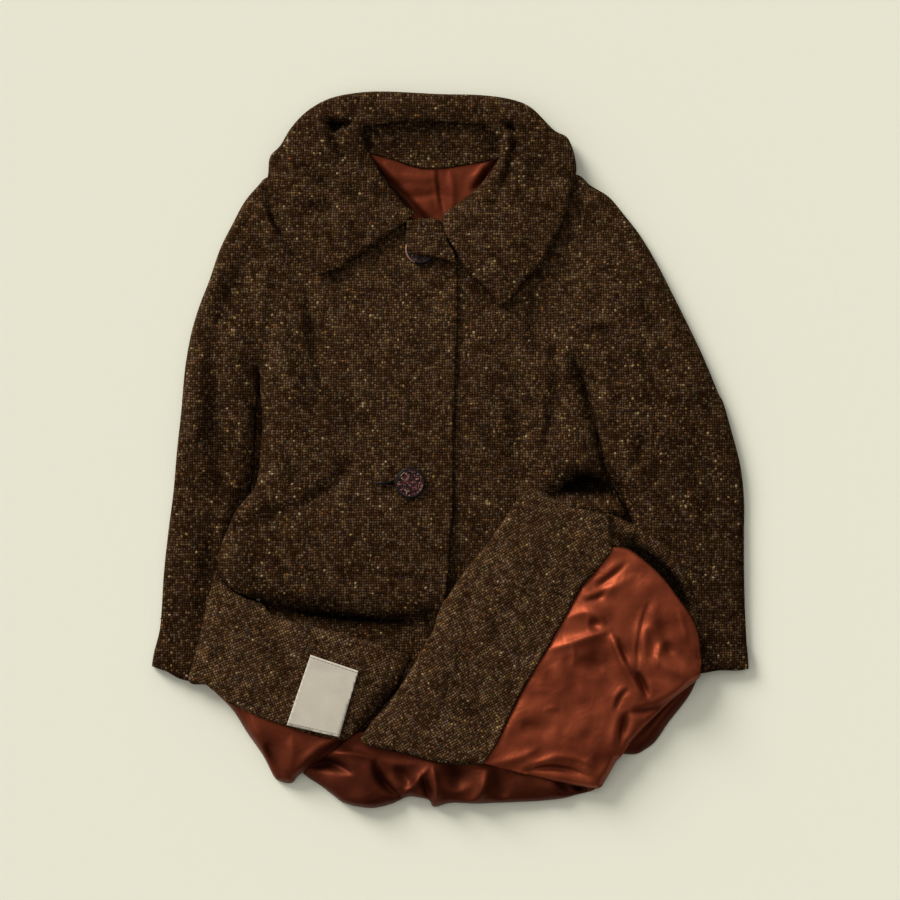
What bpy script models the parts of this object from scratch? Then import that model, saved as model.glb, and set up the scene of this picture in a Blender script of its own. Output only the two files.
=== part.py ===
"""A tweed swing coat with a satin lining, laid flat on its back with its skirt folded up.

Lengths are millimetres on the surface it lies on, turned into metres by MM: x runs to the right of the
coat's middle, y towards its collar, and z is the height over the surface. Right and left are the wearer's,
so the right front is on the left of the view.
"""
import math
from collections import namedtuple

import bmesh
import bpy
from mathutils import Vector
from mathutils.bvhtree import BVHTree

MM = 0.001

# Walls of cloth. The collar, the tab and the facings are doubled cloth, sewn and turned.
# The label and the buttonhole's lips are thin.
TWEED_WALL = 2.2
DOUBLED_WALL = 4.2
SATIN_WALL = 1.0
THIN_WALL = 1.0

# Air left between a piece and what it lies on.
LAY_GAP = 0.7

# The width over which a panel's edges turn down, and a sleeve's, which is fuller.
EDGE_ROLL = 14.0
SLEEVE_ROLL = 22.0

# One section runs straight across a piece, from (ax, ay) to (bx, by). a_edge, middle and b_edge are the
# heights of its upper face there, and bow moves its middle towards the hem.
Section = namedtuple("Section", "ax ay bx by a_edge middle b_edge bow", defaults=(0.0,))

# One fold is a soft ridge (rise over 0) or trough (under 0) through three places, half_width to its side.
Fold = namedtuple("Fold", "x1 y1 x2 y2 x3 y3 half_width rise")

# One level of the hidden layers: how far they reach to each side at a distance y, and how thick they are.
Layer = namedtuple("Layer", "y left right thick")


# ---------------- the scene and its finishes

def clear_scene():
    for thing in list(bpy.data.objects):
        bpy.data.objects.remove(thing, do_unlink=True)


def finish(name, color, roughness):
    material = bpy.data.materials.new(name)
    material.use_nodes = True
    shader = material.node_tree.nodes["Principled BSDF"]
    shader.inputs["Base Color"].default_value = (*color, 1.0)
    shader.inputs["Roughness"].default_value = roughness
    shader.inputs["Metallic"].default_value = 0.0
    return material


clear_scene()
COAT = bpy.data.collections.new("swing_coat")
bpy.context.scene.collection.children.link(COAT)
TWEED = finish("tweed", (0.055, 0.038, 0.020), 0.95)
SATIN = finish("satin", (0.260, 0.050, 0.022), 0.35)
HORN = finish("button", (0.050, 0.020, 0.018), 0.40)
PATCH = finish("label", (0.620, 0.580, 0.500), 0.90)


def add_piece(name, mesh, material):
    piece = bpy.data.objects.new(name, mesh)
    piece.data.materials.append(material)
    COAT.objects.link(piece)
    return piece


# ---------------- curves through a table's rows

def smooth(before, start, end, after, t):
    """A Catmull-Rom curve from start to end."""
    return 0.5 * (2 * start + (end - before) * t + (2 * before - 5 * start + 4 * end - after) * t ** 2
                  + (3 * start - before - 3 * end + after) * t ** 3)


def row_at(rows, v):
    """The row a share v of the way down a table, worked out smoothly between the rows written there."""
    place = v * (len(rows) - 1)
    index = min(int(place), len(rows) - 2)
    near = [rows[max(0, min(len(rows) - 1, index + step))] for step in (-1, 0, 1, 2)]
    columns = zip(*near)
    return type(rows[0])(*(smooth(*column, place - index) for column in columns))


def rounded(distance, reach):
    """0 at an edge, 1 from reach inwards, along a quarter circle."""
    inward = min(max(distance / reach, 0.0), 1.0)
    return math.sqrt(1.0 - (1.0 - inward) ** 2)


def through_three(first, middle, last, t):
    """A curve through three values, at their shares 0, 0.5 and 1."""
    return first * (1 - t) * (1 - 2 * t) + 4 * middle * t * (1 - t) + last * t * (2 * t - 1)


FOLD_STEPS = 12
FOLD_FADE = 4


def fold_rise(folds, x, y):
    """How much all the folds together raise the cloth at a place. Each fold fades out towards its ends."""
    total = 0.0
    for fold in folds:
        nearest = None
        for step in range(FOLD_STEPS + 1):
            t = step / FOLD_STEPS
            dx = x - through_three(fold.x1, fold.x2, fold.x3, t)
            dy = y - through_three(fold.y1, fold.y2, fold.y3, t)
            away = dx ** 2 + dy ** 2
            if nearest is None or away < nearest[0]:
                nearest = (away, t)
        fade = 1.0 - (2.0 * nearest[1] - 1.0) ** FOLD_FADE
        total += fold.rise * fade * math.exp(-nearest[0] / fold.half_width ** 2)
    return total


# ---------------- cloth

def surface_tree(piece):
    """The finished faces of a piece, for asking how high it reaches."""
    evaluated = piece.evaluated_get(bpy.context.evaluated_depsgraph_get())
    return BVHTree.FromObject(evaluated, bpy.context.evaluated_depsgraph_get())


SIDE_LOOK = 4.0
ABOVE_ALL = 1000.0


def top_height(trees, x, y, spread=SIDE_LOOK):
    """The highest face under a place and a little to each side of it, in millimetres."""
    highest = 0.0
    for dx, dy in ((0, 0), (spread, 0), (-spread, 0), (0, spread), (0, -spread)):
        start = Vector((x + dx, y + dy, ABOVE_ALL)) * MM
        for tree in trees:
            hit = tree.ray_cast(start, Vector((0.0, 0.0, -1.0)))[0]
            if hit is not None:
                highest = max(highest, hit.z / MM)
    return highest


def lay_cloth(name, sections, material, wall, folds=(), across=10, steps=2, roll=EDGE_ROLL, over=()):
    """One panel of cloth through its sections, its edges turned down over a width roll, its wall below.

    Its rows of faces stand closer together near the two edges. It is laid over the pieces in over, so that
    it clears them wherever its table would not.
    """
    bpy.context.view_layer.update()
    trees = [surface_tree(piece) for piece in over]
    down = steps * (len(sections) - 1)
    sheet = bmesh.new()
    bmesh.ops.create_grid(sheet, x_segments=across, y_segments=down, size=0.5)
    for vert in sheet.verts:
        u = vert.co.x + 0.5
        row = row_at(sections, vert.co.y + 0.5)
        share = 0.5 * u + 0.5 * (0.5 - 0.5 * math.cos(math.pi * u))
        width = math.hypot(row.bx - row.ax, row.by - row.ay)
        reach = min(roll, 0.5 * width)
        x = row.ax + (row.bx - row.ax) * share
        y = row.ay + (row.by - row.ay) * share - 4.0 * row.bow * share * (1.0 - share)
        z = row.middle
        z += (row.a_edge - row.middle) * (1.0 - rounded(share * width, reach))
        z += (row.b_edge - row.middle) * (1.0 - rounded((1.0 - share) * width, reach))
        z += fold_rise(folds, x, y)
        z = max(z, wall)
        if trees:
            z = max(z, top_height(trees, x, y) + LAY_GAP + wall)
        vert.co = Vector((x, y, z)) * MM
    sheet.normal_update()
    if sum(face.normal.z for face in sheet.faces) < 0.0:
        bmesh.ops.reverse_faces(sheet, faces=sheet.faces)
    mesh = bpy.data.meshes.new(name)
    sheet.to_mesh(mesh)
    sheet.free()
    mesh.shade_smooth()
    piece = add_piece(name, mesh, material)
    thickness = piece.modifiers.new("wall", "SOLIDIFY")
    thickness.thickness = wall * MM
    thickness.offset = -1.0
    return piece


# ---------------- the hidden layers: the back and its folded skirt

# From the back neck down to the fold of the skirt.
HIDDEN_LAYERS = [
    Layer(377, -121, 66, 6),
    Layer(344, -173, 109, 7),
    Layer(310, -196, 133, 8),
    Layer(275, -199, 140, 8.5),
    Layer(218, -205, 145, 9),
    Layer(160, -208, 147, 10),
    Layer(103, -212, 149, 10.5),
    Layer(57, -211, 154, 11),
    Layer(16, -208, 152, 11),
    Layer(-24, -212, 126, 11),
    Layer(-58, -215, 126, 11),
    Layer(-104, -216, 172, 12),
    Layer(-173, -216, 211, 13),
    Layer(-231, -216, 219, 13),
    Layer(-288, -210, 218, 13),
    Layer(-334, -173, 184, 11),
    Layer(-371, -121, 138, 8),
]

LAYER_NOTCH = 1.6
NOTCH_FADE = 9
EDGE_DROP = 0.4
EDGE_SHARPNESS = 8
SEGMENTS_ACROSS, SEGMENTS_DOWN, SEGMENTS_UP = 8, 16, 6


def add_hidden_layers(name):
    """One low rounded solid for the layers nobody sees, flat below, with three layers round its edge."""
    pile = bmesh.new()
    bmesh.ops.create_cube(pile, size=2.0)
    for axis, segments in enumerate((SEGMENTS_ACROSS, SEGMENTS_DOWN, SEGMENTS_UP)):
        along = [edge for edge in pile.edges
                 if abs(edge.verts[0].co[axis] - edge.verts[1].co[axis]) > 1e-4]
        bmesh.ops.subdivide_edges(pile, edges=along, cuts=segments - 1, use_grid_fill=True)
    for vert in pile.verts:
        across, down = (math.sin(0.5 * math.pi * value) for value in vert.co.xy)
        up = 0.5 * (vert.co.z + 1.0)
        row = row_at(HIDDEN_LAYERS, 0.5 * (1.0 - down))
        inset = LAYER_NOTCH if round(up * SEGMENTS_UP) % 2 == 0 else 0.0
        half = 0.5 * (row.right - row.left) - inset
        crown = 1.0 - EDGE_DROP * (across ** EDGE_SHARPNESS + down ** EDGE_SHARPNESS)
        vert.co = Vector((
            0.5 * (row.left + row.right) + half * across,
            row.y - inset * down ** NOTCH_FADE,
            row.thick * crown * up,
        )) * MM
    mesh = bpy.data.meshes.new(name)
    pile.to_mesh(mesh)
    pile.free()
    mesh.shade_smooth()
    return add_piece(name, mesh, TWEED)


hidden_back = add_hidden_layers("back_folded")


# ---------------- the sleeves, each a front and a back half

# From the shoulder to the cuff, outer edge to inner edge.
SLEEVE_RIGHT = [
    Section(-216, 309, -205, 306, 9, 13, 14),
    Section(-237, 286, -207, 279, 3, 16, 15),
    Section(-251, 260, -210, 247, 3, 17, 16),
    Section(-265, 232, -212, 216, 3, 18, 16),
    Section(-282, 186, -216, 170, 3, 19, 15),
    Section(-298, 136, -222, 116, 3, 19, 9),
    Section(-307, 80, -224, 85, 3, 19, 3),
    Section(-310, 44, -220, 48, 3, 19, 3),
    Section(-315, -2, -219, 17, 3, 17, 3),
    Section(-319, -49, -227, -40, 3, 14, 3),
    Section(-328, -121, -230, -122, 3, 12.5, 3),
    Section(-334, -202, -231, -210, 3, 12, 3),
    Section(-341, -233, -234, -256, 3, 12.5, 3),
    Section(-344, -249, -235, -283, 3, 12.5, 3, 1),
]

SLEEVE_LEFT = [
    Section(153, 312, 142, 296, 9, 13, 14),
    Section(172, 298, 146, 273, 3, 16, 15),
    Section(193, 280, 149, 243, 3, 17, 16),
    Section(218, 249, 153, 206, 3, 18, 16),
    Section(241, 210, 155, 166, 3, 20, 15),
    Section(264, 165, 156, 126, 3, 21, 14),
    Section(285, 122, 160, 85, 3, 21, 10),
    Section(306, 75, 164, 48, 3, 21, 6),
    Section(325, 20, 173, 16, 3, 19, 3),
    Section(336, -21, 184, -20, 3, 16, 3),
    Section(339, -70, 203, -64, 3, 13, 3),
    Section(339, -127, 215, -127, 3, 12.5, 3),
    Section(341, -196, 223, -198, 3, 12, 3),
    Section(344, -252, 230, -262, 3, 12, 3),
]

SLEEVE_RIGHT_FOLDS = [
    Fold(-226, 235, -249, 189, -269, 137, 13, -4),
    Fold(-272, 120, -272, 57, -267, -24, 13, -4),
    Fold(-266, -24, -269, -81, -279, -162, 10, -1.5),
    Fold(-236, 172, -235, 114, -235, 34, 8, 2),
]

SLEEVE_LEFT_FOLDS = [
    Fold(141, 105, 156, 60, 168, 28, 6, -4),
    Fold(156, 126, 184, 135, 209, 103, 5, -2.5),
    Fold(207, 116, 227, 91, 239, 71, 5, -2.5),
    Fold(224, 26, 218, -1, 214, -24, 6, -2.5),
    Fold(218, 190, 231, 150, 239, 126, 10, -2),
    Fold(276, 34, 287, -35, 287, -127, 16, -1.5),
]


def add_sleeve(side, sections, folds):
    """The back half lies flat, and the front half arches over it and meets it along both edges."""
    flat = [row._replace(a_edge=TWEED_WALL, middle=TWEED_WALL, b_edge=TWEED_WALL) for row in sections]
    back = lay_cloth("sleeve_%s_back" % side, flat, TWEED, TWEED_WALL, across=4, steps=1)
    return lay_cloth("sleeve_%s_front" % side, sections, TWEED, TWEED_WALL, folds=folds, across=9,
                     roll=SLEEVE_ROLL, over=[back])


sleeve_right = add_sleeve("right", SLEEVE_RIGHT, SLEEVE_RIGHT_FOLDS)
sleeve_left = add_sleeve("left", SLEEVE_LEFT, SLEEVE_LEFT_FOLDS)


# ---------------- the inside of the neck: back lining and stand

# From the back neck seam down to where the fronts meet.
LINING_NECK = [
    Section(-106, 335, 63, 335, 12, 12, 12),
    Section(-99, 319, 57, 321, 11.5, 11.5, 11.5),
    Section(-81, 293, 37, 301, 11, 11.5, 11),
    Section(-62, 271, 16, 278, 11, 11, 11),
    Section(-52, 257, 2, 259, 11, 11, 11),
]

# From end to end, roll line to neck seam.
STAND_BACK = [
    Section(-96, 373, -86, 335, 19, 18, 15),
    Section(-75, 375, -66, 329, 19, 18, 15),
    Section(-44, 376, -39, 324, 19, 18, 15),
    Section(-12, 375, -12, 321, 19, 18, 15),
    Section(20, 374, 17, 326, 19, 18, 15),
    Section(46, 371, 53, 333, 19, 18, 15),
]

neck_lining = lay_cloth("lining_back_neck", LINING_NECK, SATIN, SATIN_WALL, across=6, over=[hidden_back])
lay_cloth("collar_stand_back", STAND_BACK, TWEED, TWEED_WALL, across=6, over=[neck_lining])


# ---------------- the fronts: the left one first, the right one buttoned over it

# From the shoulder to where the skirt turns up, front edge to side.
FRONT_LEFT = [
    Section(83, 335, 141, 296, 15, 15, 13),
    Section(66, 292, 145, 273, 15, 16, 14),
    Section(34, 255, 148, 243, 14, 16, 15),
    Section(-14, 216, 152, 206, 14, 16.5, 15),
    Section(-23, 166, 154, 166, 15, 17.5, 15),
    Section(-23, 126, 155, 126, 16, 18, 14),
    Section(-23, 85, 158, 85, 16, 18, 10),
    Section(-23, 48, 163, 48, 16, 18, 7),
    Section(-23, 16, 168, 16, 16, 18, 6),
    Section(-23, -18, 179, -19, 16, 18, 7),
    Section(-23, -47, 188, -40, 16, 18, 9),
    Section(-19, -75, 196, -62, 16, 18, 13),
    Section(-12, -127, 202, -74, 16, 18, 15),
    Section(-12, -196, 195, -83, 15, 16, 15),
]

FRONT_LEFT_FOLDS = [
    Fold(94, 190, 95, 155, 104, 98, 7, -3.5),
    Fold(115, 120, 122, 89, 108, 11, 9, -5),
    Fold(79, 95, 73, 22, 70, -58, 12, -3),
    Fold(129, -42, 158, -33, 190, -49, 9, -9),
    Fold(147, -67, 172, -65, 198, -72, 8, 5),
    Fold(135, 126, 133, 96, 135, 57, 9, 4),
    Fold(46, 137, 43, 57, 41, -24, 16, 2),
]

front_left = lay_cloth("front_left", FRONT_LEFT, TWEED, TWEED_WALL, folds=FRONT_LEFT_FOLDS, across=12,
                       over=[hidden_back])

# The stretch of the right front that shows below its first fold.
SKIRT_RIGHT = [
    Section(-216, -159, -16, -157, 15, 16, 15),
    Section(-212, -185, -16, -182, 16, 17, 16),
    Section(-200, -210, -19, -214, 14, 16, 15),
    Section(-182, -244, -30, -251, 12, 13, 13),
]

skirt_right = lay_cloth("front_right_skirt", SKIRT_RIGHT, TWEED, TWEED_WALL, steps=3,
                        over=[hidden_back, front_left])

# From the shoulder to the fold over the skirt, side to front edge.
FRONT_RIGHT = [
    Section(-204, 306, -138, 335, 13, 15, 15),
    Section(-206, 279, -113, 292, 14, 17, 16),
    Section(-209, 247, -63, 257, 15, 18, 17),
    Section(-211, 216, 2, 227, 16, 19, 18),
    Section(-215, 170, 9, 172, 15, 21, 21),
    Section(-221, 116, 8, 116, 9, 21.5, 22),
    Section(-219, 57, 7, 57, 6, 21.5, 22),
    Section(-216, 11, 6, 11, 8, 21.5, 22),
    Section(-223, -42, 4, -40, 14, 22, 22),
    Section(-251, -72, 3, -75, 18, 25, 24),
    Section(-268, -110, 0, -110, 17, 27, 25),
    Section(-270, -136, -4, -134, 17, 29, 26),
    Section(-261, -157, -5, -158, 17, 30, 27),
    Section(-242, -166, -6, -175, 18, 28, 26, 3),
    Section(-216, -171, -7, -183, 19, 22, 22, 12),
]

FRONT_RIGHT_FOLDS = [
    Fold(-166, 183, -154, 126, -143, 62, 11, -4),
    Fold(-143, 68, -113, 22, -120, -10, 12, -5),
    Fold(-115, 2, -152, -49, -228, -90, 12, -5),
    Fold(-187, 172, -177, 91, -173, 11, 16, 3),
    Fold(-212, 34, -201, -1, -173, -24, 14, 3),
    Fold(-251, -104, -196, -110, -115, -104, 18, 2),
    Fold(-98, -142, -52, -145, -7, -150, 5, -3),
    Fold(-58, 137, -52, 80, -58, 22, 20, 2),
]

front_right = lay_cloth("front_right", FRONT_RIGHT, TWEED, TWEED_WALL, folds=FRONT_RIGHT_FOLDS, across=13,
                        over=[hidden_back, front_left, skirt_right])


# ---------------- the turned-up skirt: linings, hem and facings

# The back lining that bulges out at the fold, from side to side, upper edge to lower edge.
LINING_BACK = [
    Section(-141, -340, -169, -375, 8, 8, 3),
    Section(-129, -342, -150, -387, 10, 13, 3),
    Section(-115, -343, -120, -408, 12, 17, 3),
    Section(-97, -343, -91, -413, 13, 18, 3),
    Section(-74, -346, -67, -408, 13, 17, 3),
    Section(-54, -348, -47, -400, 13, 14, 3),
    Section(-35, -351, -21, -411, 13, 18, 3),
    Section(-12, -354, 2, -407, 13, 18, 3),
    Section(17, -355, 29, -408, 14, 17, 3),
    Section(52, -357, 57, -407, 14, 17, 3),
    Section(92, -366, 100, -405, 13, 16, 3),
    Section(126, -373, 132, -402, 12, 14, 3),
    Section(154, -381, 163, -394, 9, 10, 3),
]

LINING_BACK_FOLDS = [
    Fold(-127, -348, -113, -363, -104, -392, 8, 4),
    Fold(-90, -348, -75, -369, -69, -397, 6, -4),
    Fold(-29, -348, -21, -374, -19, -403, 5, 4),
    Fold(-6, -352, 2, -374, 6, -403, 6, -4),
    Fold(34, -357, 46, -380, 46, -403, 7, 3),
    Fold(80, -366, 92, -380, 103, -397, 6, -3),
]

lining_back = lay_cloth("lining_back_skirt", LINING_BACK, SATIN, SATIN_WALL, folds=LINING_BACK_FOLDS,
                        across=8, over=[hidden_back])

# The right front's lining, along its seam with the facing and out to its fold.
LINING_RIGHT = [
    Section(-280, -273, -273, -277, 16, 12, 4),
    Section(-252, -295, -246, -305, 17, 14, 4),
    Section(-230, -304, -230, -332, 17, 16, 4),
    Section(-206, -312, -214, -356, 17, 18, 4),
    Section(-182, -321, -197, -380, 18, 19, 4),
    Section(-159, -328, -181, -381, 18, 19, 6),
    Section(-138, -334, -162, -365, 19, 20, 16),
    Section(-123, -335, -137, -346, 19, 20, 18),
]

LINING_RIGHT_FOLDS = [
    Fold(-216, -313, -216, -334, -216, -352, 7, 3),
    Fold(-193, -323, -196, -346, -191, -374, 7, -3),
    Fold(-167, -332, -175, -351, -182, -374, 6, 2),
]

lining_right = lay_cloth("lining_right_front", LINING_RIGHT, SATIN, SATIN_WALL, folds=LINING_RIGHT_FOLDS,
                         over=[hidden_back, lining_back])

# The right front's facing, turned back, from the hem to its fold, front edge to lining seam.
FACING_RIGHT = [
    Section(-274, -145, -300, -266, 18, 19, 18),
    Section(-258, -163, -280, -272, 19, 22, 19),
    Section(-223, -175, -253, -294, 22, 25, 20),
    Section(-191, -195, -216, -308, 23, 26, 20),
    Section(-150, -204, -182, -320, 24, 27, 21),
    Section(-109, -214, -152, -328, 24, 28, 22),
    Section(-77, -225, -134, -333, 24, 28, 22),
    Section(-57, -233, -124, -334, 23, 25, 22),
    Section(-47, -239, -118, -333, 19, 20, 18),
]

FACING_RIGHT_FOLDS = [
    Fold(-262, -173, -272, -219, -282, -263, 9, 2),
]

facing_right = lay_cloth("facing_right", FACING_RIGHT, TWEED, DOUBLED_WALL, folds=FACING_RIGHT_FOLDS,
                         across=8, over=[sleeve_right, skirt_right, hidden_back])

# The left front's hem, turned up past the lining, outer edge to inner edge.
HEM_LEFT = [
    Section(185, -75, 179, -111, 22, 22.5, 22),
    Section(208, -83, 198, -124, 17, 20, 21),
    Section(237, -102, 221, -139, 17, 19, 20),
    Section(257, -122, 237, -159, 17, 19, 20),
    Section(271, -144, 248, -180, 17, 19, 20),
    Section(282, -171, 255, -205, 17, 19, 19),
    Section(288, -198, 260, -228, 16, 18, 18),
]

hem_left = lay_cloth("hem_left", HEM_LEFT, TWEED, TWEED_WALL, across=6,
                     over=[front_left, sleeve_left, hidden_back])

# A fold of the left front's lining that lies under the rest.
LINING_UNDER = [
    Section(269, -270, 287, -266, 8, 8, 5),
    Section(246, -281, 273, -287, 10, 11, 3),
    Section(227, -295, 254, -312, 11, 12, 3),
    Section(211, -309, 237, -335, 11, 12, 3),
    Section(196, -323, 216, -350, 11, 12, 3),
    Section(181, -334, 195, -351, 11, 12, 3),
]

lining_under = lay_cloth("lining_left_underfold", LINING_UNDER, SATIN, SATIN_WALL, across=6,
                         over=[hidden_back])

# The left front's lining, along its seam with the facing and out to its edge.
LINING_LEFT = [
    Section(186, -111, 191, -113, 25, 25, 25),
    Section(171, -135, 224, -129, 26, 27, 25),
    Section(150, -162, 264, -173, 26, 29, 25),
    Section(130, -197, 285, -214, 27, 30, 24),
    Section(118, -219, 288, -244, 27, 30, 22),
    Section(99, -251, 278, -277, 27, 30, 18),
    Section(79, -287, 247, -297, 26, 29, 17),
    Section(68, -310, 216, -327, 26, 28, 16),
    Section(55, -336, 194, -357, 25, 27, 12),
    Section(38, -363, 173, -388, 22, 22, 12),
]

LINING_LEFT_FOLDS = [
    Fold(112, -233, 155, -219, 186, -212, 6, 4),
    Fold(186, -212, 201, -242, 218, -277, 7, 5),
    Fold(170, -219, 181, -248, 198, -277, 9, -4),
    Fold(201, -173, 211, -219, 207, -254, 7, -3),
    Fold(161, -144, 144, -173, 126, -187, 5, -2),
    Fold(218, -150, 236, -185, 250, -236, 9, 3),
    Fold(126, -277, 161, -288, 184, -265, 10, -3),
    Fold(172, -334, 186, -305, 218, -288, 8, -4),
    Fold(80, -340, 121, -336, 172, -348, 7, 3),
    Fold(57, -363, 103, -369, 161, -374, 5, -3),
]

lining_left = lay_cloth("lining_left_front", LINING_LEFT, SATIN, SATIN_WALL, folds=LINING_LEFT_FOLDS,
                        across=12, over=[hidden_back, sleeve_left, hem_left, lining_under, lining_back])

# The left front's facing, flipped up, from the hem to its fold, front edge to lining seam.
FACING_LEFT = [
    Section(93, -44, 183, -74, 29, 30, 29),
    Section(69, -71, 185, -110, 29, 31, 29),
    Section(45, -104, 170, -135, 30, 32, 28),
    Section(23, -131, 149, -162, 29, 32, 27),
    Section(2, -160, 129, -197, 30, 32, 28),
    Section(-12, -186, 117, -219, 30, 32, 28),
    Section(-30, -224, 98, -251, 29, 32, 28),
    Section(-52, -265, 78, -287, 27, 30, 27),
    Section(-70, -292, 66, -310, 26, 29, 26),
    Section(-88, -311, 54, -336, 25, 28, 25),
    Section(-104, -333, 37, -362, 24, 26, 24, 5),
]

FACING_LEFT_FOLDS = [
    Fold(69, -104, 23, -196, -35, -288, 26, 2),
]

lay_cloth("facing_left", FACING_LEFT, TWEED, DOUBLED_WALL, folds=FACING_LEFT_FOLDS,
          across=8, over=[front_left, front_right, skirt_right, hem_left, lining_back])


# ---------------- the collar

# From the right front tip round the neck to the left one, roll line to outer edge.
COLLAR = [
    Section(-57, 257, -152, 200, 27, 28, 26),
    Section(-70, 280, -173, 228, 27, 29, 26),
    Section(-90, 295, -191, 255, 26, 29, 25),
    Section(-112, 311, -205, 285, 25, 29, 21),
    Section(-129, 333, -211, 312, 24, 28, 17),
    Section(-137, 359, -203, 344, 22, 27, 9),
    Section(-144, 378, -175, 381, 20, 24, 7),
    Section(-121, 380, -143, 403, 21, 22, 6),
    Section(-86, 379, -106, 412, 21, 22, 6),
    Section(-49, 379, -60, 413, 21, 22, 6),
    Section(-12, 378, -12, 411, 21, 22, 6),
    Section(23, 377, 35, 409, 21, 22, 6),
    Section(57, 375, 80, 402, 21, 22, 7),
    Section(76, 367, 116, 374, 21, 25, 8),
    Section(76, 347, 141, 346, 22, 27, 9),
    Section(73, 319, 145, 318, 24, 28, 17),
    Section(62, 294, 140, 293, 25, 29, 21),
    Section(47, 277, 131, 265, 26, 29, 25),
    Section(22, 264, 118, 235, 27, 29, 26),
    Section(0, 257, 92, 198, 28, 29, 26),
    Section(-8, 252, 57, 165, 28, 28, 26),
]

COLLAR_FOLDS = [
    Fold(-121, 292, -144, 281, -173, 270, 9, -2.5),
    Fold(75, 270, 94, 310, 112, 350, 10, -3),
    Fold(32, 241, 52, 224, 69, 189, 9, 2),
]

# The stand where it rolls over beside the neck, neck edge to crease, from back to front.
ROLL_RIGHT = [
    Section(-101, 371, -118, 372, 18, 20, 20),
    Section(-99, 365, -132, 363, 16, 26, 22),
    Section(-97, 354, -130, 348, 16, 28, 23),
    Section(-91, 340, -123, 333, 16, 29, 24),
    Section(-82, 324, -113, 319, 17, 29, 24),
    Section(-74, 311, -101, 308, 18, 29, 24),
    Section(-61, 296, -84, 296, 19, 29, 25),
    Section(-40, 274, -67, 283, 20, 28, 25),
    Section(-23, 266, -53, 266, 21, 27, 25),
]

ROLL_LEFT = [
    Section(49, 369, 66, 370, 18, 20, 20),
    Section(53, 363, 73, 363, 16, 26, 22),
    Section(56, 350, 74, 344, 16, 28, 23),
    Section(56, 335, 69, 320, 16, 29, 24),
    Section(46, 318, 59, 297, 17, 29, 24),
    Section(32, 302, 45, 282, 18, 29, 25),
    Section(15, 288, 24, 270, 19, 28, 25),
    Section(-5, 273, 7, 262, 20, 27, 25),
    Section(-16, 266, -5, 256, 22, 26, 25),
]

under_collar = [hidden_back, sleeve_right, sleeve_left, front_right, front_left]
lay_cloth("collar", COLLAR, TWEED, DOUBLED_WALL, folds=COLLAR_FOLDS, across=7, over=under_collar)
lay_cloth("collar_roll_right", ROLL_RIGHT, TWEED, DOUBLED_WALL, across=7, over=under_collar)
lay_cloth("collar_roll_left", ROLL_LEFT, TWEED, DOUBLED_WALL, across=7, over=under_collar)


# ---------------- what is sewn on: buttons, buttonhole, neck tab and label

# The neck tab, side to side, from the collar to its rounded end.
NECK_TAB = [
    Section(-49, 263, -20, 262, 29, 30, 29),
    Section(-53, 254, -11, 252, 30, 31, 30),
    Section(-55, 240, -4, 240, 30, 31, 30),
    Section(-52, 227, 3, 226, 30, 31, 30),
    Section(-43, 220, 7, 218, 30, 30, 30),
]

# The bound buttonhole's lips and the bare label patch, at no height of their own: they lie on their panel.
BUTTONHOLE = [
    Section(-88, -35, -65, -36, 0, 0, 0),
    Section(-88, -40, -65, -41, 0, 0, 0),
]
LABEL = [
    Section(-160, -235, -105, -254, 0, 0, 0),
    Section(-188, -316, -127, -329, 0, 0, 0),
]

BUTTON_RADIUS = 17.5
BUTTON_THICKNESS = 4.6
BUTTON_CHAMFER = 1.2
BUTTON_SIDES = 24
RIM_WIDTH = 3.0
RIM_RISE = 0.8


def add_button(name, x, y, under):
    """A round button with a raised rim round its patterned face."""
    bpy.context.view_layer.update()
    base = top_height([surface_tree(piece) for piece in under], x, y, BUTTON_RADIUS) + LAY_GAP
    button = bmesh.new()
    bmesh.ops.create_cone(button, cap_ends=True, segments=BUTTON_SIDES, radius1=BUTTON_RADIUS * MM,
                          radius2=BUTTON_RADIUS * MM, depth=BUTTON_THICKNESS * MM)
    bmesh.ops.translate(button, verts=button.verts,
                        vec=Vector((x, y, base + 0.5 * BUTTON_THICKNESS)) * MM)
    rims = [edge for edge in button.edges if abs(edge.verts[0].co.z - edge.verts[1].co.z) < 1e-6]
    bmesh.ops.bevel(button, geom=rims, offset=BUTTON_CHAMFER * MM, segments=1, profile=0.5, affect="EDGES",
                     material=-1)
    face = max(button.faces, key=lambda each: each.calc_center_median().z)
    bmesh.ops.inset_region(button, faces=[face], thickness=RIM_WIDTH * MM, depth=-RIM_RISE * MM)
    mesh = bpy.data.meshes.new(name)
    button.to_mesh(mesh)
    button.free()
    return add_piece(name, mesh, HORN)


add_button("button_front", -46, -38, [front_right])
button_neck = add_button("button_neck", -34, 231, [front_right])
lay_cloth("neck_tab", NECK_TAB, TWEED, DOUBLED_WALL, across=7, over=[front_right, button_neck])
lay_cloth("buttonhole_front", BUTTONHOLE, TWEED, THIN_WALL, across=6, over=[front_right])
lay_cloth("label", LABEL, PATCH, THIN_WALL, across=6, steps=6, over=[facing_right])
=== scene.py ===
import math
from collections import namedtuple

import bmesh
import bpy
import numpy as np
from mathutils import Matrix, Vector, kdtree, noise
from mathutils.bvhtree import BVHTree


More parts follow.
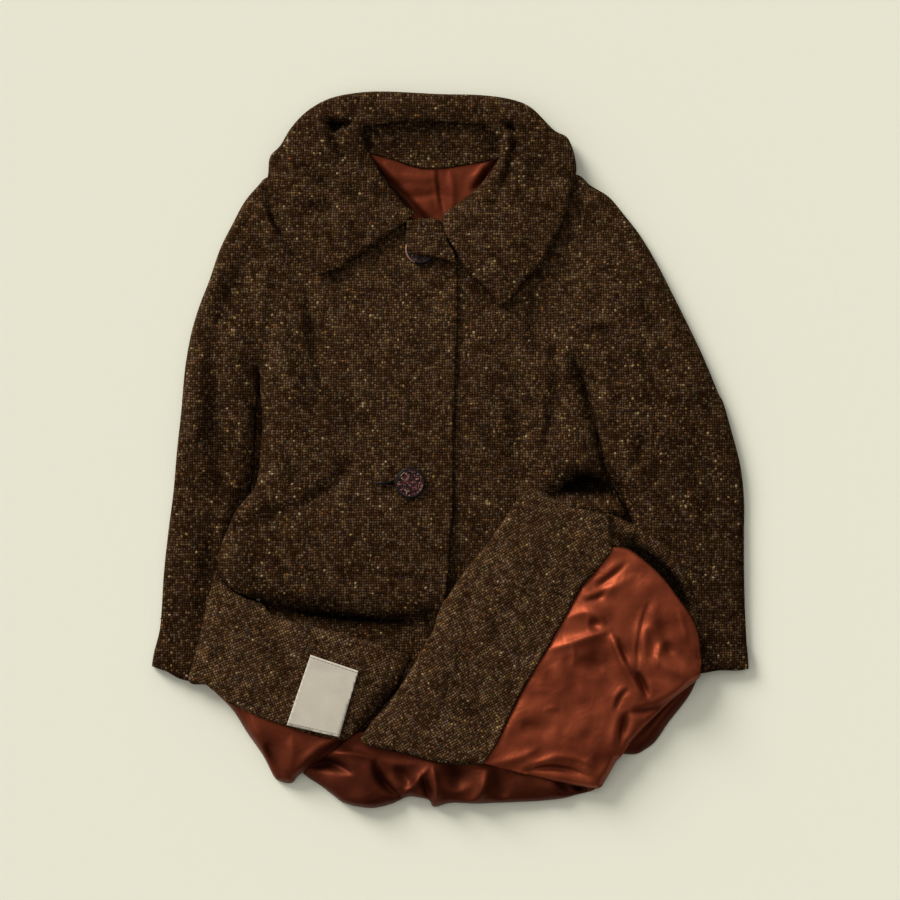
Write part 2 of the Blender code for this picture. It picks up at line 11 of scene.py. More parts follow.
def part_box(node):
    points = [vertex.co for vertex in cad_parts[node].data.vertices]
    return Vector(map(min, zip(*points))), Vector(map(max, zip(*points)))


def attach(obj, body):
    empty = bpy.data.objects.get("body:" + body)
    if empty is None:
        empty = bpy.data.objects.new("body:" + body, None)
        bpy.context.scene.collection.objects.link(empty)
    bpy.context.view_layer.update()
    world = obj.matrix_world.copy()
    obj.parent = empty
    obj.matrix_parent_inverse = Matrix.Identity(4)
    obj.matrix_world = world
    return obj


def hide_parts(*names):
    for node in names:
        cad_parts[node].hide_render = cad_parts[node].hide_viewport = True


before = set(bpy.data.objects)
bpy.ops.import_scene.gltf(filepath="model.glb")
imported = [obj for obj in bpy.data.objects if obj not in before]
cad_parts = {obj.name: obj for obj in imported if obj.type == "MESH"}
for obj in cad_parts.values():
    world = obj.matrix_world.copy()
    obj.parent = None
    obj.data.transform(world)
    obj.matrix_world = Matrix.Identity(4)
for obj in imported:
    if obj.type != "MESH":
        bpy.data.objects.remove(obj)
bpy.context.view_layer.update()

# Lengths below are millimetres, turned into metres by MM. On the table, x runs to the right of the coat's
# middle and y towards its collar. Right and left are the wearer's, so the right front is on the left.
MM = 0.001


# ---------------------------------------------------------------- the table, the light and the camera
# A plain cream table top. One broad soft light stands low beyond the collar, a little to the left. The room's
# own light fills in the rest, stronger from the lamp's side. The camera hangs straight over the coat.

def add_node(tree, kind, sockets=None, **settings):
    """A shader node with its settings made, and its sockets linked or set."""
    node = tree.nodes.new(kind)
    for name, value in settings.items():
        setattr(node, name, value)
    for name, value in (sockets or {}).items():
        if isinstance(value, bpy.types.NodeSocket):
            tree.links.new(value, node.inputs[name])
        else:
            node.inputs[name].default_value = value
    return node


def new_finish(name, roughness, specular):
    """A material with its shader's constant values set."""
    material = bpy.data.materials.new(name)
    material.use_nodes = True
    shader = material.node_tree.nodes["Principled BSDF"]
    shader.inputs["Roughness"].default_value = roughness
    shader.inputs["Specular IOR Level"].default_value = specular
    return material, material.node_tree, shader


def blend_colors(tree, share, first, second, way="MIX"):
    """Two colours mixed by a share. A Mix node's colours are sockets 6 and 7, its result the third output."""
    first, second = [color if isinstance(color, bpy.types.NodeSocket) else (*color, 1.0)
                     for color in (first, second)]
    sockets = {0: share, 6: first, 7: second}
    return add_node(tree, "ShaderNodeMix", sockets, data_type="RGBA", blend_type=way).outputs[2]


def scaled(color, share):
    """A colour made darker or lighter."""
    return [value * share for value in color]


def uneven_on(tree, place, scale, detail, **sockets):
    """A noise over the place, around one half."""
    sockets = {"Vector": place, "Scale": scale, "Detail": detail, **sockets}
    return add_node(tree, "ShaderNodeTexNoise", sockets).outputs["Fac"]


def new_object(name, shape, *finishes):
    """A finished bmesh as an object of the scene."""
    mesh = bpy.data.meshes.new(name)
    shape.to_mesh(mesh)
    shape.free()
    mesh.shade_smooth()
    for finish in finishes:
        mesh.materials.append(finish)
    thing = bpy.data.objects.new(name, mesh)
    bpy.context.scene.collection.objects.link(thing)
    return thing


TABLE_COLOR = (0.799, 0.784, 0.631)
TABLE_GRAIN = 0.99
TABLE_HALF = 10.0
FILL_LIGHT = 0.55
FILL_TILT = 0.95
LAMP_SHARE = 0.45
LAMP_HEIGHT = math.radians(24)
LAMP_TURN = math.radians(42)
LAMP_BREADTH = math.radians(26)
PHOTO_PIXELS = 900
PIXEL = 1.15
CAMERA_HEIGHT = 5600.0
COAT_MIDDLE_HEIGHT = 18.0
CAMERA_SENSOR = 36.0

top = bmesh.new()
bmesh.ops.create_grid(top, x_segments=1, y_segments=1, size=TABLE_HALF)
table_finish, tree, shader = new_finish("table_top", 0.9, 0.1)
grain = uneven_on(tree, add_node(tree, "ShaderNodeTexCoord").outputs["Object"], 90.0, 2.0)
tint = blend_colors(tree, grain, scaled(TABLE_COLOR, TABLE_GRAIN), TABLE_COLOR)
tree.links.new(tint, shader.inputs["Base Color"])
table = new_object("table_top", top, table_finish)

room = bpy.data.worlds.new("room")
bpy.context.scene.world = room
room.use_nodes = True
tree = room.node_tree
sky = tree.nodes["Background"].inputs
sky["Color"].default_value = (1.0, 1.0, 1.0, 1.0)
lamp_way = (-math.sin(LAMP_TURN), math.cos(LAMP_TURN), 0.0)
direction = add_node(tree, "ShaderNodeTexCoord").outputs["Generated"]
lamp_side = add_node(tree, "ShaderNodeVectorMath", {0: direction, 1: lamp_way}, operation="DOT_PRODUCT")
sockets = {0: lamp_side.outputs["Value"], 1: FILL_TILT * FILL_LIGHT, 2: FILL_LIGHT}
strength = add_node(tree, "ShaderNodeMath", sockets, operation="MULTIPLY_ADD")
tree.links.new(strength.outputs[0], sky["Strength"])

lamp = bpy.data.lights.new("softbox", "SUN")
lamp.energy = LAMP_SHARE * math.pi / math.sin(LAMP_HEIGHT)
lamp.angle = LAMP_BREADTH
softbox = bpy.data.objects.new("softbox", lamp)
softbox.location = (-1.0, 3.0, 2.0)
towards = Vector((-math.sin(LAMP_TURN) * math.cos(LAMP_HEIGHT), math.cos(LAMP_TURN) * math.cos(LAMP_HEIGHT),
                  math.sin(LAMP_HEIGHT)))
softbox.rotation_euler = towards.to_track_quat("Z", "Y").to_euler()
bpy.context.scene.collection.objects.link(softbox)

lens = bpy.data.cameras.new("camera")
lens.sensor_width = CAMERA_SENSOR
lens.lens = CAMERA_SENSOR * (CAMERA_HEIGHT - COAT_MIDDLE_HEIGHT) / (PHOTO_PIXELS * PIXEL)
camera = bpy.data.objects.new("camera", lens)
camera.location = (0.0, 0.0, CAMERA_HEIGHT * MM)
bpy.context.scene.collection.objects.link(camera)
bpy.context.scene.camera = camera
bpy.context.scene.view_settings.view_transform = "Standard"


# ---------------------------------------------------------------- the back and the folded skirt, out of sight
# Brown flecked tweed. The back lies flat on the table, the skirt is folded up on it in layers, and only their
# soft edges show at the sides. Each layer is one panel, cut to its outline and laid on those below.

# One stretch of a panel's edge: the width over which it turns down (roll), the share of its height that it
# comes down by (down), and the places that it runs through as a smooth curve.
Rim = namedtuple("Rim", "roll down points")

# One fold, through three places. It is a ridge (rise over 0) or a trough (under 0). Its sides fall away as
# the sharpness says, 2 as a soft swell and 1 as a crease, and lean makes its right-hand side broader. Cloth
# that is pushed down into a trough stands up in a lower ridge beside it, on that same side. The folds of a
# panel are listed as rows of these numbers.
Crease = namedtuple("Crease", "x1 y1 x2 y2 x3 y3 half_width rise sharpness lean", defaults=(2.0, 1.0))

TWEED_WALL = 2.2
TWEED_CELL = 2.8
LAY_GAP = 0.4
RIM_STEP = 3.0
RIM_RINGS = (0.7, 1.5)
SETTLE_ROUNDS = 45
BRIDGE_ROUNDS = 5
CREASE_PARTS = 12
END_WIDTH = 0.4
MIDDLE_WIDTH = 0.7
RIDGE_SHARE = 0.4
RIDGE_PLACE = 1.7
RIDGE_LIMIT = 5.0
HOLLOW_DEPTH = 10.0
ABOVE_ALL = 1.0


def curve_through(points, step):
    """Points about every step along a smooth curve through the given ones, both ends included."""
    places = [Vector(point) for point in points]
    if len(places) == 2:
        places = [places[0], places[0].lerp(places[1], 0.5), places[1]]
    curve = []
    for index in range(len(places) - 1):
        start, end = places[index], places[index + 1]
        before = places[index - 1] if index else 2 * start - end
        after = places[index + 2] if index + 2 < len(places) else 2 * end - start
        count = max(1, round((end - start).length / step))
        bend = 2 * before - 5 * start + 4 * end - after
        turn = 3 * start - before - 3 * end + after
        for number in range(count):
            t = number / count
            curve.append(0.5 * (2 * start + (end - before) * t + bend * t ** 2 + turn * t ** 3))
    curve.append(places[-1])
    return curve


def distance_to(path, places):
    """How far each place is from a path, which side of it that is, and what share of the path lies before."""
    path = np.array([tuple(point) for point in path])
    nearest = np.full(len(places), np.inf)
    side = np.zeros(len(places))
    share = np.zeros(len(places))
    for index in range(len(path) - 1):
        start, run = path[index], path[index + 1] - path[index]
        length = max(run @ run, 1e-9)
        t = np.clip((places - start) @ run / length, 0.0, 1.0)
        away = places - (start + t[:, None] * run)
        distance = np.hypot(away[:, 0], away[:, 1])
        closer = distance < nearest
        nearest[closer] = distance[closer]
        side[closer] = np.sign(away[:, 0] * run[1] - away[:, 1] * run[0])[closer]
        share[closer] = ((index + t) / (len(path) - 1))[closer]
    return nearest, side, share


def crease_heights(creases, places):
    """How much all the folds together raise each place. A fold narrows and fades out towards its ends."""
    total = np.zeros(len(places))
    for crease in [Crease(*row) for row in creases]:
        first, middle, last = Vector(crease[0:2]), Vector(crease[2:4]), Vector(crease[4:6])
        path = []
        for part in range(CREASE_PARTS + 1):
            t = part / CREASE_PARTS
            path.append(first * (1 - t) * (1 - 2 * t) + 4 * middle * t * (1 - t) + last * t * (2 * t - 1))
        distance, side, share = distance_to(path, places)
        fade = 1.0 - (2.0 * share - 1.0) ** 2
        width = crease.half_width * np.where(side > 0, crease.lean, 1.0) * (END_WIDTH + MIDDLE_WIDTH * fade)
        total += crease.rise * fade * np.exp(-(distance / width) ** crease.sharpness)
        if crease.rise < 0:
            from_ridge = (distance * side - RIDGE_PLACE * crease.half_width) / crease.half_width
            total += RIDGE_SHARE * min(-crease.rise, RIDGE_LIMIT) * fade * np.exp(-from_ridge ** 2)
    return total


def rumple(places, size, height):
    """Low swells with no direction, as cloth has that was handled."""
    return np.array([height * noise.noise(Vector((x / size, y / size, 3.1))) for x, y in places])


def heights_under(trees, places):
    """The highest face below each place, in millimetres, or not a number where there is none."""
    found = np.full(len(places), np.nan)
    down = Vector((0.0, 0.0, -1.0))
    for index, (x, y) in enumerate(places):
        start = Vector((x * MM, y * MM, ABOVE_ALL))
        for tree in trees:
            hit = tree.ray_cast(start, down)[0]
            if hit is not None and not hit.z / MM <= found[index]:
                found[index] = hit.z / MM
    return found


def filled_from_nearest(heights, places):
    """The same heights, with each missing one taken from the nearest place that has one."""
    known = np.flatnonzero(~np.isnan(heights))
    finder = kdtree.KDTree(len(known))
    for index in known:
        finder.insert((places[index][0], places[index][1], 0.0), int(index))
    finder.balance()
    filled = heights.copy()
    for index in np.flatnonzero(np.isnan(heights)):
        filled[index] = heights[finder.find((places[index][0], places[index][1], 0.0))[1]]
    return filled


def cut_cloth(cut, cell):
    """A flat panel: its outline filled, two narrow rings inside its edge, and the rest in square cells."""
    cloth = bmesh.new()
    outline = []
    for rim in cut:
        outline += curve_through(rim.points, RIM_STEP)
    outline = [point for index, point in enumerate(outline) if (point - outline[index - 1]).length > 0.5]
    corners = [cloth.verts.new((point.x * MM, point.y * MM, 0.0)) for point in outline]
    panel = cloth.faces.new(corners)
    panel.normal_update()
    if panel.normal.z < 0.0:
        panel.normal_flip()
    inner = [panel]
    for ring in RIM_RINGS:
        bmesh.ops.inset_region(cloth, faces=inner, thickness=ring * MM, use_even_offset=True)
    for axis in (0, 1):
        low = min(point[axis] for point in outline)
        high = max(point[axis] for point in outline)
        across = Vector((0.0, 0.0, 0.0))
        across[axis] = 1.0
        for line in range(math.ceil(low / cell), math.floor(high / cell) + 1):
            bmesh.ops.bisect_plane(cloth, geom=cloth.verts[:] + cloth.edges[:] + cloth.faces[:], dist=1e-6,
                                   plane_co=across * (line * cell * MM), plane_no=across)
    bmesh.ops.remove_doubles(cloth, verts=cloth.verts, dist=0.3 * MM)
    return cloth


cad_trees = {}


def cad_tree(node):
    """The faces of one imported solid, for asking how high it reaches."""
    if node not in cad_trees:
        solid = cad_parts[node].data
        cad_trees[node] = BVHTree.FromPolygons([vert.co for vert in solid.vertices],
                                               [face.vertices for face in solid.polygons])
    return cad_trees[node]


def rounded(share):
    """0 at an edge, 1 from there inwards, along a quarter circle."""
    return np.sqrt(1.0 - (1.0 - np.clip(share, 0.0, 1.0)) ** 2)


laid = {}


def lay_cloth(name, cut, material, wall, follows=(), lies_on=(), creases=(), cell=TWEED_CELL, swell=(60, 0.8),
              lift=0.0, apart=None, shift=None):
    """One panel of cloth, laid over what is below it, which turns down at its edges and has its own folds.

    It takes its height from the solids that it follows, a little lifted where cloth stands off what is below,
    so that its folds can sink. Where apart says that places belong to the panel's second part, only the
    second of follows is asked, and shift moves places sideways first. The attribute hollow says how deep the
    cloth is folded in, and the finishes paint shade by it.
    """
    cloth = cut_cloth(cut, cell)
    hollow = cloth.verts.layers.float.new("hollow")
    cloth.verts.ensure_lookup_table()
    flat = np.array([(vert.co.x / MM, vert.co.y / MM) for vert in cloth.verts])
    down = np.ones(len(flat))
    for rim in cut:
        distance = distance_to(curve_through(rim.points, RIM_STEP), flat)[0]
        down = np.minimum(down, 1.0 - rim.down * (1.0 - rounded(distance / rim.roll)))
    second = apart(flat) if apart else np.zeros(len(flat), bool)
    places = shift(flat) if shift else flat
    base = np.zeros(len(flat))
    support = np.zeros(len(flat))
    if follows:
        trees = [cad_tree(node) for node in follows]
        base = heights_under(trees, places)
        if apart:
            base[second] = heights_under(trees[1:], places[second])
        base = filled_from_nearest(base, places)
    if lies_on:
        support = np.nan_to_num(heights_under([laid[below] for below in lies_on], places))
    for vert, place, height in zip(cloth.verts, places, base):
        vert.co = (place[0] * MM, place[1] * MM, height * MM)
    for _ in range(SETTLE_ROUNDS):
        bmesh.ops.smooth_vert(cloth, verts=cloth.verts, factor=0.5, use_axis_z=True)
    base = np.array([vert.co.z / MM for vert in cloth.verts])
    ends = np.array([(edge.verts[0].index, edge.verts[1].index) for edge in cloth.edges])
    for _ in range(2):
        wider = support.copy()
        np.maximum.at(wider, ends[:, 0], support[ends[:, 1]])
        np.maximum.at(wider, ends[:, 1], support[ends[:, 0]])
        support = wider
    for vert, height in zip(cloth.verts, support):
        vert.co.z = height * MM
    for _ in range(BRIDGE_ROUNDS):
        bmesh.ops.smooth_vert(cloth, verts=cloth.verts, factor=0.5, use_axis_z=True)
    support = np.array([vert.co.z / MM for vert in cloth.verts]) + LAY_GAP
    folds = crease_heights(creases, flat)
    height = np.maximum(base, support + wall) + lift + folds + rumple(flat, *swell)
    height = support + (height - support) * down
    height = np.maximum(height, np.maximum(support + wall * down, wall))
    for vert, z, fold in zip(cloth.verts, height, folds):
        vert.co.z = z * MM
        vert[hollow] = min(max(-fold / HOLLOW_DEPTH, 0.0), 1.0)
    return finish_cloth(name, cloth, material, wall)


def finish_cloth(name, cloth, material, wall):
    """The shaped panel as a piece of the coat, with its wall below its face."""
    laid[name] = BVHTree.FromBMesh(cloth)
    piece = new_object(name, cloth, material)
    body = piece.modifiers.new("wall", "SOLIDIFY")
    body.thickness = wall * MM
    body.offset = -1.0
    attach(piece, "root")
    return piece


def calc(tree, operation, *values, use_clamp=False):
    """The result of one Math node."""
    sockets = dict(enumerate(values))
    return add_node(tree, "ShaderNodeMath", sockets, operation=operation, use_clamp=use_clamp).outputs[0]


def product(tree, *values):
    """All the values multiplied together."""
    result = values[0]
    for value in values[1:]:
        result = calc(tree, "MULTIPLY", result, value)
    return result


def within(tree, value, low, high):
    """The value, held between two limits."""
    return calc(tree, "MAXIMUM", calc(tree, "MINIMUM", value, high), low)


def pick(tree, share, first, second):
    """first where share is 0, second where it is 1."""
    rest = calc(tree, "SUBTRACT", 1.0, share)
    return calc(tree, "ADD", product(tree, first, rest), product(tree, second, share))


def shaded(tree, color, share):
    """The colour, darker or lighter by a share that changes over the cloth."""
    grey = add_node(tree, "ShaderNodeCombineColor", {0: share, 1: share, 2: share})
    return blend_colors(tree, 1.0, color, grey.outputs[0], "MULTIPLY")


def fleck_colors(tree, chance, colors, lightness, interpolation="LINEAR"):
    """A ramp of colours, read off at a chance between 0 and 1."""
    ramp = add_node(tree, "ShaderNodeValToRGB", {"Fac": chance})
    ramp.color_ramp.interpolation = interpolation
    stops = ramp.color_ramp.elements
    for number, (position, color) in enumerate(colors):
        stop = stops[number] if number < 2 else stops.new(position)
        stop.position = position
        stop.color = (*scaled(color, lightness), 1.0)
    return ramp.outputs["Color"]


def chance_of(tree, column, row):
    """A chance for each cell of the weave."""
    cell = add_node(tree, "ShaderNodeCombineXYZ", {"X": column, "Y": row}).outputs[0]
    return add_node(tree, "ShaderNodeTexWhiteNoise", {"Vector": cell}, noise_dimensions="2D").outputs


# Painted shade in the folds: the hollow attribute darkens the colour where the cloth is folded in.
HOLLOW_ONSET = 1.5
HOLLOW_PAINTED_SHADE = 0.93


def shade_painted_in_hollows(tree, color):
    """The colour with painted shade, darker by how deep the cloth is folded in there."""
    hollow = add_node(tree, "ShaderNodeAttribute", attribute_name="hollow").outputs["Fac"]
    left = calc(tree, "MULTIPLY_ADD", calc(tree, "POWER", hollow, HOLLOW_ONSET), -HOLLOW_PAINTED_SHADE, 1.0)
    return shaded(tree, color, left)


def dress(tree, shader, color, relief, strength, height):
    """The finish's colour and its relief, whose height is in millimetres."""
    tree.links.new(color, shader.inputs["Base Color"])
    bump = add_node(tree, "ShaderNodeBump", {"Height": relief, "Strength": strength, "Distance": height * MM})
    tree.links.new(bump.outputs[0], shader.inputs["Normal"])


def place_on_cloth(tree):
    """Two directions along the cloth: x and y on its face, and its height on its steep sides."""
    coordinates = add_node(tree, "ShaderNodeTexCoord")
    at = add_node(tree, "ShaderNodeSeparateXYZ", {0: coordinates.outputs["Object"]}).outputs
    facing = add_node(tree, "ShaderNodeSeparateXYZ", {0: coordinates.outputs["Normal"]}).outputs
    steep = calc(tree, "LESS_THAN", calc(tree, "ABSOLUTE", facing["Z"]), 0.5)
    sideways = calc(tree, "GREATER_THAN", *[calc(tree, "ABSOLUTE", facing[axis]) for axis in "XY"])
    along = product(tree, steep, sideways)
    across = product(tree, steep, calc(tree, "SUBTRACT", 1.0, sideways))
    u = pick(tree, along, at["X"], at["Z"])
    v = pick(tree, across, at["Y"], at["Z"])
    return add_node(tree, "ShaderNodeCombineXYZ", {"X": u, "Y": v}).outputs[0]


YARN_PITCH = 2.9
YARN_WANDER = 2.2
YARN_APART = 0.737
YARN_RUN = 0.16
YARN_COLORS = [
    (0.00, (0.021, 0.010, 0.005)),
    (0.30, (0.040, 0.018, 0.008)),
    (0.42, (0.067, 0.032, 0.013)),
    (0.50, (0.059, 0.038, 0.015)),
    (0.57, (0.050, 0.023, 0.012)),
    (0.66, (0.040, 0.028, 0.020)),
    (0.75, (0.075, 0.036, 0.015)),
    (1.00, (0.080, 0.056, 0.034)),
]
GAP_COLOR = (0.0068, 0.0018, 0.0001)
NUB_COLOR = (0.135, 0.082, 0.033)
PALE_FIBRE = (0.078, 0.059, 0.041)
FLECKS = [
    (0.945, (0.090, 0.058, 0.021)),
    (0.966, (0.105, 0.074, 0.034)),
    (0.980, (0.115, 0.045, 0.014)),
    (0.989, (0.185, 0.118, 0.042)),
    (0.9965, (0.240, 0.170, 0.085)),
]


# How much each of these lightens the yarns, and the share that it starts from. The last three are painted
# shade and go by yarns from the coat's middle: cloth with a straight grain is darker low down, on the sleeves
# and at the neck.
CROSSING_SHADE = (1.35, 0.45)
PAIR_SHADE = (0.70, 0.65)
PATCH_SHADE = (2.0, 0.0)
FIBRE_SHADE = (1.4, 0.30)
LOW_PAINTED_SHADE = (0.0034, 0.85)
SLEEVE_PAINTED_SHADE = (-0.0090, 1.45)
NECK_PAINTED_SHADE = (-0.0145, 2.5)
SLEEVE_SHADE_LEAST = 0.78
NECK_SHADE_LEAST = 0.72

PALE_RARITY = 8.0
PALE_SHARE = 0.5
NUB_PEAKS = (9.0, -6.0)
NUB_SHARE = 0.6
FLECKS_TOGETHER = 0.10
YARN_LIGHT = 1.45
FIBRE_LIGHT = 0.34
YARN_RELIEF = 0.9


def tweed_cloth(name, grain, lightness=1.0):
    """Hopsack tweed: thick soft yarns, one over the other in turn, spun from browns, olive and rust."""
    material, tree, shader = new_finish(name, 0.95, 0.01)
    yarns = {"Rotation": (0.0, 0.0, math.radians(grain)), "Scale": [1.0 / (YARN_PITCH * MM)] * 3}
    cloth = add_node(tree, "ShaderNodeMapping", {"Vector": place_on_cloth(tree), **yarns}).outputs[0]
    wander = {"Vector": cloth, "Scale": 0.30, "Detail": 4.0, "Roughness": 0.62}
    wander = add_node(tree, "ShaderNodeTexNoise", wander).outputs["Color"]
    loose = add_node(tree, "ShaderNodeSeparateColor", {0: wander}).outputs
    at = add_node(tree, "ShaderNodeSeparateXYZ", {0: cloth}).outputs
    u, v = [calc(tree, "MULTIPLY_ADD", calc(tree, "SUBTRACT", loose[axis], 0.5), YARN_WANDER, at[axis])
            for axis in (0, 1)]
    column, row = calc(tree, "FLOOR", u), calc(tree, "FLOOR", v)
    over = calc(tree, "FLOORED_MODULO", calc(tree, "ADD", column, row), 2.0)
    swells = [calc(tree, "SINE", product(tree, calc(tree, "FRACT", way), math.pi)) for way in (u, v)]
    across = calc(tree, "POWER", pick(tree, over, *swells), 1.1)
    along = calc(tree, "POWER", pick(tree, over, *reversed(swells)), 0.7)
    hill = product(tree, across, along)

    # Each yarn keeps its colours for a few crossings.
    warp = {"X": product(tree, column, YARN_APART), "Y": product(tree, v, YARN_RUN), "Z": 0.31}
    weft = {"X": product(tree, u, YARN_RUN), "Y": product(tree, row, YARN_APART), "Z": 7.7}
    spun = [uneven_on(tree, add_node(tree, "ShaderNodeCombineXYZ", yarn).outputs[0], 1.0, 2.0)
            for yarn in (warp, weft)]
    color = fleck_colors(tree, pick(tree, over, *spun), YARN_COLORS, lightness)

    # Patches, pairs of yarns, single crossings and fibres are darker or lighter.
    chance = chance_of(tree, column, row)
    random = add_node(tree, "ShaderNodeSeparateColor", {0: chance["Color"]}).outputs["Blue"]
    pair = chance_of(tree, *[calc(tree, "FLOOR", product(tree, way, 0.5)) for way in (u, v)])
    patches = uneven_on(tree, cloth, 0.12, 2.0)
    fibres = uneven_on(tree, cloth, 3.2, 3.0)
    shade = product(tree, calc(tree, "MULTIPLY_ADD", calc(tree, "POWER", random, 2.0), *CROSSING_SHADE),
                    calc(tree, "MULTIPLY_ADD", pair["Value"], *PAIR_SHADE))
    # Painted shade: on straight-grain cloth, darker low down, out on the sleeves and high at the neck.
    if not grain:
        lower = calc(tree, "MINIMUM", calc(tree, "MULTIPLY_ADD", at["Y"], *LOW_PAINTED_SHADE), 1.0)
        outer = calc(tree, "MULTIPLY_ADD", calc(tree, "ABSOLUTE", at["X"]), *SLEEVE_PAINTED_SHADE)
        upper = calc(tree, "MULTIPLY_ADD", at["Y"], *NECK_PAINTED_SHADE)
        shade = product(tree, shade, within(tree, upper, NECK_SHADE_LEAST, 1.0), lower,
                        within(tree, outer, SLEEVE_SHADE_LEAST, 1.0))
    shade = product(tree, shade, calc(tree, "MULTIPLY_ADD", patches, *PATCH_SHADE),
                    calc(tree, "MULTIPLY_ADD", fibres, *FIBRE_SHADE))
    color = shaded(tree, color, shade)

    # Some crossings are paler, and a few are nubs or flecks, which lie near each other. The gaps between the
    # yarns are dark.
    pale = product(tree, calc(tree, "POWER", random, PALE_RARITY), PALE_SHARE)
    color = blend_colors(tree, pale, color, scaled(PALE_FIBRE, lightness))
    nub = calc(tree, "MULTIPLY_ADD", uneven_on(tree, cloth, 0.55, 1.0), *NUB_PEAKS, use_clamp=True)
    color = blend_colors(tree, product(tree, nub, NUB_SHARE), color, NUB_COLOR)
    luck = calc(tree, "MULTIPLY_ADD", calc(tree, "SUBTRACT", patches, 0.5), FLECKS_TOGETHER, chance["Value"])
    for limit, fleck in FLECKS:
        color = blend_colors(tree, calc(tree, "GREATER_THAN", luck, limit), color, fleck)
    depth = calc(tree, "MULTIPLY_ADD", hill, YARN_LIGHT, product(tree, fibres, FIBRE_LIGHT))
    color = blend_colors(tree, 1.0, shaded(tree, color, depth), GAP_COLOR, "ADD")
    relief = calc(tree, "MULTIPLY_ADD", fibres, 0.5, hill)
    dress(tree, shader, shade_painted_in_hollows(tree, color), relief, 1.0, YARN_RELIEF)
    return material


TWEED = tweed_cloth("tweed", 0.0)

HIDDEN_CUT = [
    Rim(3, 1, [(-121, 376), (-28, 379), (66, 376)]),
    Rim(3, 1, [(109, 344), (133, 310), (140, 275), (146, 190), (149, 103), (154, 57), (150, 16), (128, -20),
               (128, -58), (172, -104), (208, -160), (212, -215), (205, -280), (176, -320), (130, -336)]),
    Rim(3, 1, [(90, -340), (0, -342), (-90, -338)]),
    Rim(3, 1, [(-130, -334), (-170, -318), (-210, -288), (-216, -231), (-216, -104), (-214, -40), (-208, 16),
               (-211, 90), (-205, 218), (-198, 290), (-175, 342)]),
]
LAYER_SHIFTS = {"back": (0, 0), "skirt_layer_lower": (-2, -1), "skirt_layer_upper": (1, 1)}

below = []
for name, (right, up) in LAYER_SHIFTS.items():
    cut = [Rim(rim.roll, rim.down, [(x + right, y + up) for x, y in rim.points]) for rim in HIDDEN_CUT]
    follows = ["back_folded"] if name == "skirt_layer_upper" else []
    layer = lay_cloth(name, cut, TWEED, TWEED_WALL, follows=follows, lies_on=below, cell=8.0, swell=(60, 0.0))
    below = [name]
    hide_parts("back_folded")


# ---------------------------------------------------------------- the sleeves' undersides
# The same tweed. Each sleeve is cut in one with its front and its back, so its underside is a flat tongue of
# the back that lies on the table and meets the front along the over-arm and the under-arm.

SLEEVE_RIGHT_UNDER_CUT = [
    Rim(2, 1, [(-340, -247), (-339, -232), (-332, -202), (-323, -96), (-317, -49), (-308, 44), (-302, 105),
               (-287, 166), (-263, 232), (-235, 285), (-219, 303)]),
    Rim(2, 1, [(-209, 285), (-215, 100), (-213, 48), (-211, 0), (-217, -44), (-219, -127), (-237, -282)]),
    Rim(2, 1, [(-259, -275), (-296, -264), (-324, -254)]),
]
SLEEVE_LEFT_UNDER_CUT = [
    Rim(2, 1, [(146, 314), (181, 290), (216, 248), (254, 180), (291, 104), (313, 54), (333, -19), (337, -57),
               (337, -136), (341, -250)]),
    Rim(2, 1, [(309, -251), (232, -260)]),
    Rim(2, 1, [(224, -215), (214, -127), (184, -84), (166, -46), (160, 4), (161, 30), (156, 120),
               (146, 250)]),
]

for side, cut in (("right", SLEEVE_RIGHT_UNDER_CUT), ("left", SLEEVE_LEFT_UNDER_CUT)):
    under = lay_cloth("sleeve_%s_under" % side, cut, TWEED, TWEED_WALL - 0.2, cell=6.0, swell=(60, 0.0))
    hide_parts("sleeve_%s_back" % side)


# ---------------------------------------------------------------- the back neck: lining and collar stand
# Inside the neck the back's copper satin lining shows, with a pleat at its middle. It is sewn to the collar
# stand, a low band of the same tweed as the coat.

SATIN_WALL = 1.0
SATIN_CELL = 2.0
SATIN_COLOR = (0.092, 0.0172, 0.0070)
# The lighter colour is reached by the thread's own slubs and by random patches of painted sheen.
SATIN_SLUB_AND_SHEEN = (0.205, 0.0435, 0.0168)


SATIN_METAL = 0.80
SATIN_SHEEN_PATCHES = (2.6, -0.95)
SLUB_SHARE = 0.35
SLUB_PITCH = (1800.0, 260.0, 1800.0)
WRINKLE_RELIEF = 5.0
WRINKLE_STRENGTH = 0.22


def satin_cloth(name, painted_light):
    """Copper satin: a smooth shine that follows its folds, faint slubs and random patches of painted sheen.
    Its colours are scaled by painted light or shade, as each piece is lit.
    """
    material, tree, shader = new_finish(name, 0.50, 0.08)
    shader.inputs["Metallic"].default_value = SATIN_METAL
    place = place_on_cloth(tree)
    threads = add_node(tree, "ShaderNodeMapping", {"Vector": place, "Scale": SLUB_PITCH}).outputs[0]
    slubs = uneven_on(tree, threads, 1.0, 2.0)
    # Random soft patches of painted sheen, mixed in with the slubs.
    clouded = calc(tree, "MULTIPLY_ADD", uneven_on(tree, place, 28.0, 3.0), *SATIN_SHEEN_PATCHES)
    shade = calc(tree, "MULTIPLY_ADD", slubs, SLUB_SHARE, product(tree, clouded, 1.0 - SLUB_SHARE))
    color = blend_colors(tree, shade, scaled(SATIN_COLOR, painted_light), scaled(SATIN_SLUB_AND_SHEEN, painted_light))
    relief = calc(tree, "MULTIPLY_ADD", slubs, 0.02, uneven_on(tree, place, 34.0, 3.0, Distortion=1.2))
    dress(tree, shader, shade_painted_in_hollows(tree, color), relief, WRINKLE_STRENGTH, WRINKLE_RELIEF)
    return material


# The satin at the neck, and a lighter copy for the left lining: painted light.
SATIN = satin_cloth("satin", 1.05)
SATIN_LIT = satin_cloth("satin_lit", 1.45)

